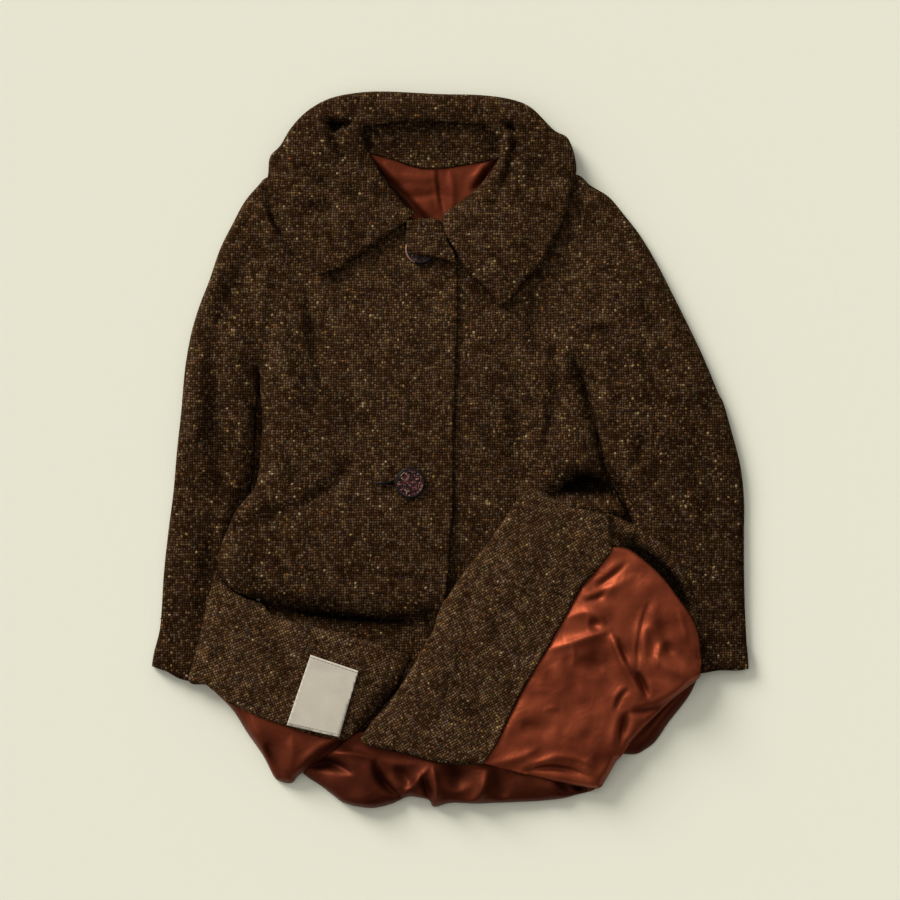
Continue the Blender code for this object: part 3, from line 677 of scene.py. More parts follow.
NECK_LINING_CUT = [
    Rim(3, 1, [(-113, 347), (-91, 344), (-67, 339), (-40, 329), (-14, 327), (15, 332), (56, 339)]),
    Rim(3, 1, [(66, 335), (57, 315), (32, 289), (0, 262)]),
    Rim(3, 1, [(-26, 257), (-58, 273), (-81, 298), (-101, 327)]),
]

NECK_LINING_CREASES = [
    (-15, 328, -12, 298, -7, 271, 2.4, -3.4, 1.3),
    (-1, 326, 3, 298, 2, 273, 5, 3.2, 1.7),
    (-60, 317, -35, 312, -15, 315, 6, 1.8),
    (-12, 296, -37, 292, -58, 296, 5, -1.8),
    (39, 326, 41, 312, 27, 296, 5, -2.8),
    (-76, 333, -67, 319, -51, 308, 5, 2.2),
    (-99, 340, -60, 294, -12, 250, 6, -11, 1.8),
    (64, 344, 45, 319, 23, 296, 5, -5),
]

neck_lining = lay_cloth("neck_lining", NECK_LINING_CUT, SATIN, SATIN_WALL, follows=["lining_back_neck"],
                        lies_on=["skirt_layer_upper"], creases=NECK_LINING_CREASES, cell=SATIN_CELL,
                        swell=(24, 0.8), lift=4.5)
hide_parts("lining_back_neck")

# A darker copy of the coat's tweed for the collar and its stand: painted shade.
TWEED_COLLAR_SHADED = tweed_cloth("tweed_collar_shaded", 0.0, 0.90)

STAND_CUT = [
    Rim(5, 1, [(-106, 384), (-23, 388), (61, 381)]),
    Rim(3, 0.8, [(64, 335), (56, 334), (15, 327), (-14, 323), (-40, 325), (-67, 334), (-91, 340)]),
    Rim(3, 1, [(-101, 344), (-106, 365)]),
]

STAND_CREASES = [
    (-97, 374, -92, 354, -90, 338, 7, -5.5, 1.6),
    (50, 370, 53, 351, 56, 335, 6.3, -5, 1.6),
    (48, 366, -23, 363, -86, 366, 5.6, -2.9, 1.6),
]

stand = lay_cloth("collar_stand", STAND_CUT, TWEED_COLLAR_SHADED, TWEED_WALL, follows=["collar_stand_back"],
                  lies_on=["neck_lining"], creases=STAND_CREASES, swell=(30, 0.4))
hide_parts("collar_stand_back")


# ---------------------------------------------------------------- the left front and its sleeve
# Tweed. The sleeve is cut in one with the front, with no seam between them but a short one on the shoulder.
# It lies over the back, and the right front will button over its edge.

FRONT_LEFT_CUT = [
    # Shoulder and over-arm
    Rim(6, 1, [(66, 335), (103, 321), (145, 318), (162, 305), (183, 292), (200, 272), (218, 249),
               (237, 218), (256, 181), (275, 143), (293, 105), (310, 64), (315, 55), (326, 17), (335, -19),
               (339, -57), (339, -93), (339, -136), (340, -180), (342, -224)]),
    # Cuff
    Rim(3, 0.25, [(344, -252), (332, -254), (309, -254), (291, -257), (264, -259)]),
    # Under-arm of the sleeve
    Rim(14, 1, [(230, -262), (224, -219), (218, -173), (214, -127), (210, -96), (206, -74), (198, -55),
                (187, -35), (179, -19), (175, -1), (172, 13)]),
    # Side of the body
    Rim(12, 1, [(169, 22), (172, -3), (179, -24), (188, -40), (196, -55), (201, -67)]),
    # The turn of the skirt, under the facing
    Rim(14, 0.6, [(202, -76), (103, -129), (23, -185), (-12, -198)]),
    # Front edge, under the right front
    Rim(8, 1, [(-14, -178), (-14, -58), (-19, 57), (-22, 149), (-21, 218)]),
    # Neck
    Rim(8, 1, [(-14, 229), (23, 258), (53, 298)]),
]

FRONT_LEFT_CREASES = [
    (209, -62, 158, -39, 110, -62, 14, -14.3),
    (137, 128, 131, 98, 134, 55, 5, 4.6, 1.7),
    (141, 114, 154, 71, 172, 11, 5.9, -8.8, 1.6),
    (211, 101, 181, 137, 153, 124, 5.9, -4.2, 1.6),
    (207, 116, 229, 90, 239, 68, 5.9, -3.7),
    (193, 29, 181, 27, 172, 28, 4.8, -2.6),
    (225, 28, 218, -2, 213, -24, 7, -4),
    (158, 97, 179, 112, 204, 89, 7, 3.2),
    (216, 197, 231, 154, 240, 124, 9.8, -4.8, 1.8),
    (161, 282, 186, 260, 209, 227, 2.8, -2.8, 1.6),
    (94, 195, 95, 149, 104, 94, 7, -4.8, 1.8),
    (116, 120, 122, 68, 107, -6, 7.7, -5.3, 1.8),
    (79, 97, 75, 11, 70, -80, 9.8, -4, 1.9),
    (142, -67, 172, -65, 204, -72, 6, 4),
    (276, 57, 294, -35, 301, -173, 15.4, -2.9),
    (255, 137, 276, 80, 287, 22, 10, 3),
    (34, 160, 32, 80, 34, -12, 12, 2.2),
    (57, 137, 53, 57, 48, -24, 12.6, -1.8),
]

# The slit between the sleeve and the body, from below up to its top: (y, x).
SLIT_LEFT = [(-300, 200), (-100, 206), (-76, 204), (-67, 202), (-55, 197), (-40, 189), (-24, 180), (-3, 174),
             (13, 171), (24, 170)]
SLEEVE_JOIN = [(142, 296, 155, 166, 160, 85, 7, 2.4)]
FRONT_LIFT = 2.5


def beyond_slit(slit, outward):
    """A test for places: below the slit's top, and on its sleeve's side (outward is 1 or -1 along x)."""
    heights, line = zip(*slit)

    def on_sleeve(places):
        past = outward * (places[:, 0] - np.interp(places[:, 1], heights, line))
        return (places[:, 1] < heights[-1]) & (past > 0.0)

    return on_sleeve


left = lay_cloth("front_left_with_sleeve", FRONT_LEFT_CUT, TWEED, TWEED_WALL,
                 follows=["front_left", "sleeve_left_front"], apart=beyond_slit(SLIT_LEFT, 1),
                 lies_on=["skirt_layer_upper", "sleeve_left_under"], creases=FRONT_LEFT_CREASES + SLEEVE_JOIN,
                 lift=FRONT_LIFT)
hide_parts("front_left", "sleeve_left_front")


# ---------------------------------------------------------------- the right front, its skirt and its sleeve
# The upper front, cut as the left one. Below the button it folds over itself: the stretch of its skirt that
# shows under that fold is laid first, and its side puffs out over the sleeve.

SKIRT_CUT = [
    Rim(6, 1, [(-221, -157), (-173, -162), (-81, -166), (-9, -162)]),
    Rim(6, 1, [(-5, -185), (-12, -219), (-30, -251)]),
    Rim(6, 1, [(-46, -277), (-115, -256), (-184, -236)]),
]

SKIRT_CREASES = [
    (23, -194, -121, -193, -242, -168, 7, -12.1, 1.8),
]

skirt = lay_cloth("skirt_right", SKIRT_CUT, TWEED, TWEED_WALL, follows=["front_right_skirt"],
                  lies_on=["skirt_layer_upper", "front_left_with_sleeve"], creases=SKIRT_CREASES)
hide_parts("front_right_skirt")

FRONT_RIGHT_CUT = [
    # Shoulder and over-arm, cuff to neck
    Rim(7, 1, [(-344, -249), (-341, -232), (-334, -202), (-330, -143), (-325, -96), (-319, -49),
               (-315, -2), (-310, 44), (-307, 80), (-304, 105), (-298, 136), (-289, 166), (-277, 197),
               (-265, 232), (-251, 260), (-237, 286), (-221, 305), (-210, 315), (-173, 326), (-132, 335)]),
    # Neck
    Rim(8, 1, [(-118, 333), (-83, 287), (-46, 262), (-12, 246)]),
    # Front edge
    Rim(4, 0.5, [(6, 220), (8, 210), (9, 160), (7, 86), (5, 36), (4, -40), (3, -81), (-1, -127)]),
    # The fold over the skirt
    Rim(12, 0.7, [(-7, -183), (-23, -186), (-52, -190), (-86, -190), (-122, -186), (-155, -179),
                  (-192, -174), (-213, -171)]),
    # Side of the body
    Rim(13, 0.75, [(-226, -170), (-226, -139), (-226, -104), (-226, -70), (-225, -44), (-221, -27),
                   (-217, 24), (-218, 48), (-220, 91)]),
    # Under-arm of the sleeve
    Rim(10, 1, [(-224, 48), (-224, 22), (-227, -24), (-230, -47), (-231, -81), (-231, -127), (-231, -173),
                (-233, -231)]),
    # Cuff
    Rim(3, 0.25, [(-235, -285), (-259, -277), (-280, -270), (-296, -267), (-312, -263), (-326, -255)]),
]

FRONT_RIGHT_CREASES = [
    (-166, 197, -158, 132, -146, 62, 7, -5.3, 1.7),
    (-147, 71, -118, 43, -107, -7, 7.7, -4.6, 1.8),
    (-107, -3, -138, -42, -177, -70, 8.4, -5.1, 1.8),
    (-173, -64, -201, -81, -236, -93, 9.8, -4),
    (-198, -20, -212, -24, -226, -28, 9.8, -2.9),
    (-196, -71, -212, -72, -228, -73, 8.4, -2.6),
    (-150, -111, -162, -109, -175, -105, 3, -1.6),
    (-183, 137, -180, 74, -173, 17, 10, 3.4),
    (-223, -44, -256, -83, -269, -129, 8, 3.2),
    (-173, -127, -127, -133, -90, -122, 12, 2.2),
    (-4, -151, -52, -147, -95, -142, 4.8, -3.3, 1.6),
    (-216, -127, -173, -156, -115, -164, 8, 2.2),
    (-226, 237, -258, 174, -273, 111, 12.6, -5.5, 1.8),
    (-274, 132, -270, 22, -262, -87, 11.2, -5.7, 1.9),
    (-264, -64, -279, -139, -288, -219, 9.8, -4),
    (-221, -33, -244, -67, -267, -134, 7.7, -7.2, 1.8),
    (-221, 280, -237, 258, -249, 232, 2.8, -2.8, 1.6),
    (-292, 126, -299, 34, -302, -58, 10, 2.4),
    (-58, 137, -53, 57, -60, -12, 14, 2.2),
    (-201, 229, -216, 172, -221, 120, 8, 3.4),
    (-127, 172, -121, 114, -101, 57, 14, 2),
    (-214, 310, -198, 255, -154, 193, 3.2, -7, 1.6),
]

SLIT_RIGHT = [(-300, -231), (-170, -230), (-70, -229), (-44, -227.5), (-24, -224.5), (24, -220.7),
              (50, -220.7), (92, -220.5)]
SLEEVE_JOIN = [(-205, 306, -215, 170, -221, 100, 7, 2.4)]

# How far the body's side puffs out over the sleeve: (y, distance).
PUFF = [(-172, 0), (-161, 27), (-145, 38), (-127, 44), (-104, 37), (-70, 22), (-44, 0)]
PUFF_EDGE = -226
PUFF_REACH = 110
PUFF_ONSET = 1.5


on_right_sleeve = beyond_slit(SLIT_RIGHT, -1)


def puffed_out(places):
    heights, reach = zip(*PUFF)
    share = np.clip(1.0 - (places[:, 0] - PUFF_EDGE) / PUFF_REACH, 0.0, 1.0) ** PUFF_ONSET
    moved = places.copy()
    moved[:, 0] -= np.where(on_right_sleeve(places), 0.0, share * np.interp(places[:, 1], heights, reach))
    return moved


right = lay_cloth("front_right_with_sleeve", FRONT_RIGHT_CUT, TWEED, TWEED_WALL,
                  follows=["front_right", "sleeve_right_front"], apart=on_right_sleeve, shift=puffed_out,
                  lies_on=["skirt_layer_upper", "sleeve_right_under", "front_left_with_sleeve",
                           "skirt_right"],
                  creases=FRONT_RIGHT_CREASES + SLEEVE_JOIN, lift=FRONT_LIFT)
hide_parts("front_right", "sleeve_right_front")


# ---------------------------------------------------------------- the skirt's linings
# Copper satin. The back's lining bulges out at the fold of the skirt, and the fronts' linings lie over it
# with their facings, each in soft folds.

# Darker copies of the satin for the back lining, its underfold and the right lining: painted shade.
SATIN_SHADED = satin_cloth("satin_shaded", 0.55)
SATIN_HALF_SHADED = satin_cloth("satin_half_shaded", 0.80)

LINING_BACK_CUT = [
    # The fold of the skirt
    Rim(6, 1, [(-170, -373), (-162, -379), (-148, -388), (-135, -398), (-120, -408), (-91, -413),
               (-67, -408), (-49, -400), (-35, -401), (-24, -404), (-20, -411), (-14, -411), (2, -407),
               (29, -408), (55, -407), (100, -405), (129, -402), (145, -398), (161, -394)]),
    # Under the linings and facings
    Rim(5, 1, [(173, -387), (155, -366), (103, -348), (34, -343), (-58, -332), (-109, -323), (-144, -340)]),
]

LINING_BACK_CREASES = [
    (-137, -351, -112, -349, -84, -358, 4, 4, 1.5),
    (-111, -373, -138, -361, -164, -367, 6.5, -9, 1.8),
    (-143, -398, -109, -407, -69, -401, 10, 3),
    (-86, -355, -77, -382, -51, -402, 5, -9, 1.6),
    (-65, -364, -53, -375, -44, -389, 7, -5),
    (-81, -354, -58, -362, -35, -359, 6, 3, 1.8),
    (-55, -400, -42, -385, -22, -363, 3.8, 5, 1.5),
    (-31, -373, -26, -389, -21, -405, 5, -8, 1.7),
    (-19, -362, -16, -387, -12, -412, 3.6, 6, 1.4, 1.2),
    (7, -352, 8, -373, 8, -393, 13, -9),
    (-12, -407, 27, -404, 43, -364, 5.4, 5.5, 1.7),
    (53, -362, 57, -385, 64, -401, 9, -6, 1.8),
    (76, -373, 94, -382, 115, -392, 9, 2.5),
    (119, -373, 133, -387, 142, -398, 6.5, -6, 1.8),
    (164, -392, 150, -389, 139, -384, 5, -9, 1.6),
]

LINING_RIGHT_CUT = [
    # Free edge
    Rim(8, 1, [(-282, -269), (-265, -285), (-249, -302), (-234, -326), (-216, -352), (-203, -377),
               (-198, -381), (-190, -384), (-182, -384), (-178, -379), (-173, -374), (-147, -356),
               (-120, -335)]),
    # Seam to the facing
    Rim(4, 1, [(-115, -328), (-150, -324), (-173, -317), (-213, -303), (-253, -287)]),
]

LINING_RIGHT_CREASES = [
    (-101, -313, -121, -335, -145, -351, 5, -10, 1.8),
    (-230, -302, -219, -332, -212, -359, 7, 2.8, 1.8),
    (-212, -336, -203, -357, -193, -380, 5.5, -5, 1.8),
    (-182, -329, -181, -348, -185, -371, 7, 2.6, 1.8),
    (-127, -335, -152, -355, -175, -378, 5, -5, 1.7),
    (-251, -290, -242, -306, -230, -327, 8, -3.6, 1.9),
]

back_lining = lay_cloth("back_lining", LINING_BACK_CUT, SATIN_SHADED, SATIN_WALL,
                        follows=["lining_back_skirt"], lies_on=["skirt_layer_upper"],
                        creases=LINING_BACK_CREASES, cell=SATIN_CELL, swell=(22, 1.8), lift=2.0)
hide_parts("lining_back_skirt")

right_lining = lay_cloth("right_lining", LINING_RIGHT_CUT, SATIN_HALF_SHADED, SATIN_WALL,
                         follows=["lining_right_front"],
                         lies_on=["skirt_layer_upper", "back_lining", "sleeve_right_under"],
                         creases=LINING_RIGHT_CREASES, cell=SATIN_CELL, swell=(24, 0.8), lift=2.0)
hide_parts("lining_right_front")


# ---------------------------------------------------------------- the right front's facing
# A strip of the same tweed, interlined, sewn to the front edge and turned. It lies slanting, so its yarns do
# too, and its edge shows as a soft doubled fold.

DOUBLED_WALL = 4.2
# A lighter copy of the coat's tweed, slanted with the facing: painted light.
TWEED_RIGHT_SLANT_LIT = tweed_cloth("tweed_facing_right_lit", -22.0, 1.15)

FACING_RIGHT_CUT = [
    # Front edge, lying towards the collar
    Rim(5, 0.55, [(-270, -141), (-262, -149), (-252, -160), (-235, -170), (-216, -176), (-204, -188),
                  (-181, -197), (-158, -202), (-122, -211), (-82, -223)]),
    # Where the skirt folds
    Rim(9, 0.8, [(-45, -237), (-53, -256), (-63, -277), (-83, -300), (-104, -321)]),
    # Seam to the lining
    Rim(3, 0.6, [(-121, -334), (-150, -329), (-173, -323), (-213, -309), (-253, -292)]),
    # Hem
    Rim(5, 0.7, [(-280, -270), (-300, -266), (-292, -231), (-281, -181)]),
]

FACING_RIGHT_CREASES = [
    (-43, -236, -61, -277, -106, -318, 9.1, -11),
    (-262, -162, -274, -219, -282, -256, 8, 3.2),
    (-230, -185, -173, -219, -69, -248, 18, 2.2),
    (-182, -201, -200, -194, -210, -180, 5.6, -3.5, 1.6),
]

facing = lay_cloth("facing_right_front", FACING_RIGHT_CUT, TWEED_RIGHT_SLANT_LIT, DOUBLED_WALL,
                   follows=["facing_right"],
                   lies_on=["skirt_layer_upper", "front_right_with_sleeve", "skirt_right", "right_lining",
                            "back_lining"],
                   creases=FACING_RIGHT_CREASES)
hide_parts("facing_right")


# ---------------------------------------------------------------- the left front's hem, lining and facing
# The hem of the left front is turned up and pressed. The lining is sewn to the facing on its one side and
# hangs loose past the hem on the other, folded under itself below.

# A lighter copy of the coat's tweed, slanted with the facing: painted light.
TWEED_LEFT_SLANT_LIT = tweed_cloth("tweed_facing_left_lit", -30.0, 1.16)

HEM_CUT = [
    # Fold of the hem
    Rim(7, 1, [(181, -73), (208, -83), (237, -102), (257, -122), (271, -144), (282, -171)]),
    Rim(6, 1, [(287, -194), (276, -219), (260, -226)]),
    # Inner edge, under the lining
    Rim(4, 1, [(250, -205), (230, -180), (207, -157), (184, -139), (177, -122)]),
]

HEM_CREASES = [
    (186, -99, 239, -137, 301, -212, 13.3, -14.3),
]

LINING_UNDER_CUT = [
    Rim(8, 1, [(289, -254), (276, -283), (253, -313), (237, -336), (224, -346), (213, -351), (194, -350)]),
    Rim(5, 1, [(179, -339), (201, -311), (230, -283), (260, -254)]),
]

LINING_UNDER_CREASES = [
    (276, -274, 241, -313, 218, -343, 5, 2.4, 1.6),
    (260, -277, 230, -313, 209, -339, 4, -2.4, 1.6),
]

LINING_LEFT_CUT = [
    # Seam to the facing, a little under it
    Rim(14, 0.45, [(31, -358), (49, -332), (64, -300), (80, -269), (102, -232), (123, -195), (144, -158),
                   (167, -129)]),
    # Free edge over the hem
    Rim(7, 0.5, [(187, -111), (206, -114), (225, -128), (246, -148), (264, -172), (277, -191), (286, -214),
                 (289, -240)]),
    # Fold over the lower lining
    Rim(9, 1, [(287, -263), (256, -288), (227, -317), (207, -338)]),
    Rim(10, 1, [(193, -357), (184, -373), (177, -385)]),
    # Lower edge
    Rim(8, 1, [(170, -390), (138, -385), (92, -374)]),
]

LINING_LEFT_CREASES = [
    (205, -128, 183, -147, 167, -158, 3.7, -4.3, 1.5),
    (170, -167, 194, -153, 214, -143, 4.7, 2.9, 1.7, 1.4),
    (180, -160, 169, -170, 152, -173, 3.4, -3.8, 1.5),
    (133, -195, 161, -186, 179, -201, 4.2, 3.1, 1.6, 1.2),
    (172, -195, 166, -200, 159, -203, 5.8, -4.1),
    (110, -231, 150, -217, 188, -205, 4.2, 4.6, 1.4, 1.5),
    (186, -208, 195, -236, 227, -293, 5.8, 7.3, 1.6),
    (193, -214, 199, -231, 206, -249, 3.4, -5.9, 1.5),
    (214, -254, 221, -269, 227, -285, 4.6, -8.1, 1.6),
    (230, -173, 219, -208, 215, -255, 2.5, -3, 1.3),
    (241, -172, 227, -208, 222, -249, 6.8, 2.9, 1.9, 1.6),
    (140, -221, 142, -237, 139, -250, 3.8, 2.2, 1.6),
    (177, -253, 163, -247, 150, -237, 10.3, -3.2),
    (109, -255, 119, -266, 123, -278, 9.2, -2.4),
    (123, -315, 103, -319, 82, -313, 9.2, -2.7),
    (106, -301, 117, -296, 125, -299, 2.9, 1.7, 1.5),
    (132, -332, 144, -323, 163, -319, 9.5, 2.2),
    (239, -195, 248, -216, 250, -237, 8, -4.1),
    (261, -181, 268, -201, 272, -220, 2.7, 2.2, 1.5),
    (243, -220, 238, -237, 238, -253, 3.8, 2.6, 1.6),
    (238, -237, 258, -255, 288, -264, 8.4, 4, 1.8),
    (266, -228, 272, -241, 283, -249, 6.9, -3.2, 1.8),
    (208, -273, 196, -284, 191, -300, 3, -3.5, 1.5),
    (266, -280, 233, -298, 204, -301, 4.6, -5.4, 1.5, 1.5),
    (205, -299, 199, -319, 194, -342, 5.1, -8.1, 1.6),
    (200, -336, 235, -313, 283, -270, 5.2, 2.6, 1.8),
    (40, -360, 74, -355, 103, -340, 5.2, 3.5, 1.7),
    (94, -365, 128, -352, 169, -365, 5.2, 4.4, 1.6),
    (165, -377, 121, -365, 81, -371, 3.7, -5.9, 1.5),
    (192, -348, 183, -367, 172, -384, 5.2, 2.4, 1.8),
    (167, -348, 169, -361, 161, -371, 8, -2.7, 1.9),
    (192, -154, 212, -164, 225, -179, 12.6, 2.6),
    (165, -224, 179, -251, 198, -277, 12.6, -2.2),
    (133, -236, 140, -251, 149, -277, 10.3, -2.7),
    (225, -205, 232, -219, 236, -237, 5.8, -4.1, 1.8),
    (248, -219, 255, -236, 269, -251, 8, -4.3, 1.8),
]

FACING_LEFT_CUT = [
    # Hem end
    Rim(5, 0.7, [(92, -43), (100, -45), (121, -56), (141, -66)]),
    # Seam to the lining
    Rim(3, 0.6, [(184, -74), (187, -111), (171, -134), (149, -160), (129, -197), (108, -234), (86, -271),
                 (70, -302), (55, -334)]),
    # Where the skirt folds
    Rim(8, 0.8, [(37, -362), (7, -362), (-20, -358), (-51, -350), (-88, -342)]),
    # Front edge
    Rim(6, 0.55, [(-104, -333), (-88, -310), (-69, -289), (-53, -265), (-40, -244), (-30, -224),
                  (-20, -208), (-12, -183), (2, -160), (23, -131), (45, -104), (65, -75), (78, -55)]),
]

FACING_LEFT_CREASES = [
    (126, -70, 57, -173, -35, -311, 22, 2.6),
    (2, -173, 23, -219, -12, -288, 14, -2.6),
]

hem = lay_cloth("hem_left_front", HEM_CUT, TWEED_LEFT_SLANT_LIT, TWEED_WALL, follows=["hem_left"],
                lies_on=["front_left_with_sleeve", "skirt_layer_upper"], creases=HEM_CREASES, swell=(40, 0.8))
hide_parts("hem_left")

under_lining = lay_cloth("left_lining_underfold", LINING_UNDER_CUT, SATIN_SHADED, SATIN_WALL,
                         follows=["lining_left_underfold"], lies_on=["skirt_layer_upper", "back_lining"],
                         creases=LINING_UNDER_CREASES, cell=SATIN_CELL, swell=(24, 0.6))
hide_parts("lining_left_underfold")

left_lining = lay_cloth("left_lining", LINING_LEFT_CUT, SATIN_LIT, SATIN_WALL, follows=["lining_left_front"],
                        lies_on=["skirt_layer_upper", "back_lining", "left_lining_underfold",
                                 "hem_left_front", "front_left_with_sleeve"],
                        creases=LINING_LEFT_CREASES, cell=SATIN_CELL, swell=(22, 2.4), lift=2.0)
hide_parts("lining_left_front")

facing = lay_cloth("facing_left_front", FACING_LEFT_CUT, TWEED_LEFT_SLANT_LIT, DOUBLED_WALL,
                   follows=["facing_left"],
                   lies_on=["skirt_layer_upper", "front_right_with_sleeve", "skirt_right", "left_lining",
                            "back_lining", "facing_right_front", "front_left_with_sleeve"],
                   creases=FACING_LEFT_CREASES)
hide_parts("facing_left")


# ---------------------------------------------------------------- the collar
# Two layers of tweed, sewn round and turned. It rolls over its stand round the neck, falls to a point on each
# front, and creases deeply where its back meets its sides.

COLLAR_CUT = [
    # Outer edge, right point to left point
    Rim(5, 0.5, [(-152, 200), (-165, 218), (-176, 233), (-191, 255), (-200, 278), (-209, 303), (-209, 321),
                 (-207, 338), (-195, 351), (-183, 371), (-165, 390), (-141, 404), (-111, 411), (-75, 413),
                 (-12, 410), (33, 409), (70, 404), (94, 394), (119, 369), (134, 361), (141, 348),
                 (145, 331), (145, 319), (140, 294), (132, 267), (118, 235), (104, 210), (87, 194),
                 (70, 173)]),
    # Left point's inner edge
    Rim(5, 0.5, [(57, 165), (37, 188), (16, 210), (3, 234)]),
    # The roll round the neck
    Rim(10, 0.85, [(-10, 257), (-7, 271), (8, 283), (25, 296), (39, 310), (54, 332), (57, 342), (55, 358)]),
    # The roll behind the neck
    Rim(7, 0.9, [(46, 370), (23, 374), (-23, 376), (-69, 375)]),
    # The roll round the neck, right side
    Rim(10, 0.85, [(-100, 372), (-98, 356), (-91, 340), (-74, 311), (-62, 296), (-52, 283), (-40, 273)]),
    # Right point's inner edge
    Rim(5, 0.5, [(-55, 258), (-85, 236), (-121, 212)]),
]

COLLAR_CREASES = [
    (-135, 377, -130, 344, -108, 315, 4.8, -7.2, 1.5),
    (-53, 273, -88, 302, -108, 317, 3, -4.8, 1.5),
    (-108, 378, -129, 374, -150, 380, 5, -11, 1.6),
    (-135, 379, -132, 370, -128, 362, 5.6, -6.6, 1.6),
    (76, 370, 72, 342, 57, 292, 4.8, -7.2, 1.5),
    (78, 363, 71, 371, 61, 379, 5, -11, 1.6),
    (56, 289, 46, 282, 32, 286, 3, -3.6, 1.6),
    (-97, 280, -108, 289, -122, 301, 8.4, -4.8),
    (-121, 292, -147, 278, -175, 269, 8.4, -3.7),
    (-127, 293, -141, 302, -157, 312, 9.8, -4.6),
    (116, 358, 94, 310, 73, 266, 8.4, -3.3, 1.9),
    (112, 312, 99, 287, 89, 257, 7.7, -1.8),
    (-101, 390, -23, 395, 57, 390, 7, 2.8),
    (34, 380, 11, 380, -12, 381, 3, -3),
    (-182, 344, -173, 319, -170, 292, 10, 2.8),
    (-173, 262, -152, 243, -138, 229, 9, 1.8),
    (23, 252, 46, 216, 63, 183, 9, 2.2),
    (109, 270, 92, 229, 75, 201, 11.2, -2),
    (126, 333, 133, 304, 126, 275, 7, 2.4),
]

collar = lay_cloth("collar_whole", COLLAR_CUT, TWEED_COLLAR_SHADED, DOUBLED_WALL,
                   follows=["collar", "collar_roll_right", "collar_roll_left"],
                   lies_on=["skirt_layer_upper", "front_right_with_sleeve", "front_left_with_sleeve",
                            "neck_lining", "collar_stand"],
                   creases=COLLAR_CREASES, lift=3.0)
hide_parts("collar", "collar_roll_right", "collar_roll_left")


# ---------------------------------------------------------------- the buttons
# Two turned brown-red buttons with a plain rim. Their faces are moulded as a basket weave with cream and pink
# touches. The lower one goes through a bound buttonhole, and the neck one holds the tab.

RIM_COLOR = (0.009, 0.006, 0.006)
# A tan painted highlight where the neck button's rim catches the light.
RIM_HIGHLIGHT_COLOR = (0.260, 0.130, 0.085)
FACE_COLORS = [
    (0.00, (0.010, 0.006, 0.005)),
    (0.48, (0.050, 0.007, 0.008)),
    (0.72, (0.220, 0.060, 0.052)),
    (0.90, (0.330, 0.200, 0.140)),
]
BUTTON_RADIUS = 17.5
BUTTON_FACE = 13.5
BUTTON_SIDES = 64
BASKET_CELL = 4.2
BASKET_BARS = 2
BASKET_RISE = 1.0
BASKET_MARGIN = 1.2
BASKET_HEIGHT = 3.2
BAR_SHAPE = (0.86, 1.02)
BAR_ROUNDING = 0.42
RING_WIDTH = 0.8
RING_HEIGHT = 3.4
HIGHLIGHT_REACH = 55
HIGHLIGHT_WIDTH = 2.2


def button_finish(name, color):
    """Moulded plastic, a little glossy and clouded."""
    material, tree, shader = new_finish(name, 0.42, 0.15)
    place = add_node(tree, "ShaderNodeTexCoord").outputs["Object"]
    color = blend_colors(tree, uneven_on(tree, place, 260.0, 3.0), scaled(color, 0.4), scaled(color, 1.6))
    tree.links.new(color, shader.inputs["Base Color"])
    return material


def flecked_finish(name, dim):
    """The same plastic with every little bar in its own colour, from black and red to pink and cream."""
    material, tree, shader = new_finish(name, 0.38, 0.2)
    place = add_node(tree, "ShaderNodeTexCoord").outputs["Object"]
    grains = add_node(tree, "ShaderNodeTexVoronoi", {"Vector": place, "Scale": 600.0}).outputs["Color"]
    chance = add_node(tree, "ShaderNodeSeparateColor", {0: grains}).outputs["Red"]
    color = fleck_colors(tree, chance, FACE_COLORS, dim, "CONSTANT")
    tree.links.new(color, shader.inputs["Base Color"])
    return material


HORN = button_finish("horn_rim", RIM_COLOR)
WEAVE = flecked_finish("horn_face", 0.85)
# The neck button's face, darkened for lying under the tab: painted shade.
WEAVE_IN_SHADE = flecked_finish("horn_face_in_shade", 0.25)
RIM_HIGHLIGHT = button_finish("horn_rim_highlight", RIM_HIGHLIGHT_COLOR)


def spin_round(shape, line):
    """A line of places (radius, height) turned all the way round."""
    corners = [shape.verts.new((radius * MM, 0.0, height * MM)) for radius, height in line]
    edges = [shape.edges.new(pair) for pair in zip(corners, corners[1:])]
    bmesh.ops.spin(shape, geom=corners + edges, cent=(0, 0, 0), axis=(0, 0, 1), angle=2 * math.pi,
                   steps=BUTTON_SIDES, use_merge=True)


def add_block(shape, middle, size):
    """The corners of a new block with this middle and size, in metres."""
    block = bmesh.ops.create_cube(shape, size=1.0)["verts"]
    bmesh.ops.scale(shape, verts=block, vec=size)
    bmesh.ops.translate(shape, verts=block, vec=middle)
    return block


def add_bar(button, x, y, lengthwise):
    """One rounded bar of the basket weave, in millimetres from the button's middle."""
    across, along = BAR_SHAPE[0] * BASKET_CELL / BASKET_BARS, BAR_SHAPE[1] * BASKET_CELL
    size = Vector((across, along, BASKET_RISE * 2) if lengthwise else (along, across, BASKET_RISE * 2))
    bar = add_block(button, Vector((x, y, BASKET_HEIGHT)) * MM, size * MM)
    edges = [edge for edge in {edge for vert in bar for edge in vert.link_edges}
             if edge.calc_length() > 0.5 * min(size) * MM]
    rounding = bmesh.ops.bevel(button, geom=edges, offset=BAR_ROUNDING * MM, segments=2, profile=0.5,
                               affect="EDGES", material=-1)
    for face in {face for vert in rounding["verts"] for face in vert.link_faces}:
        face.material_index = 1


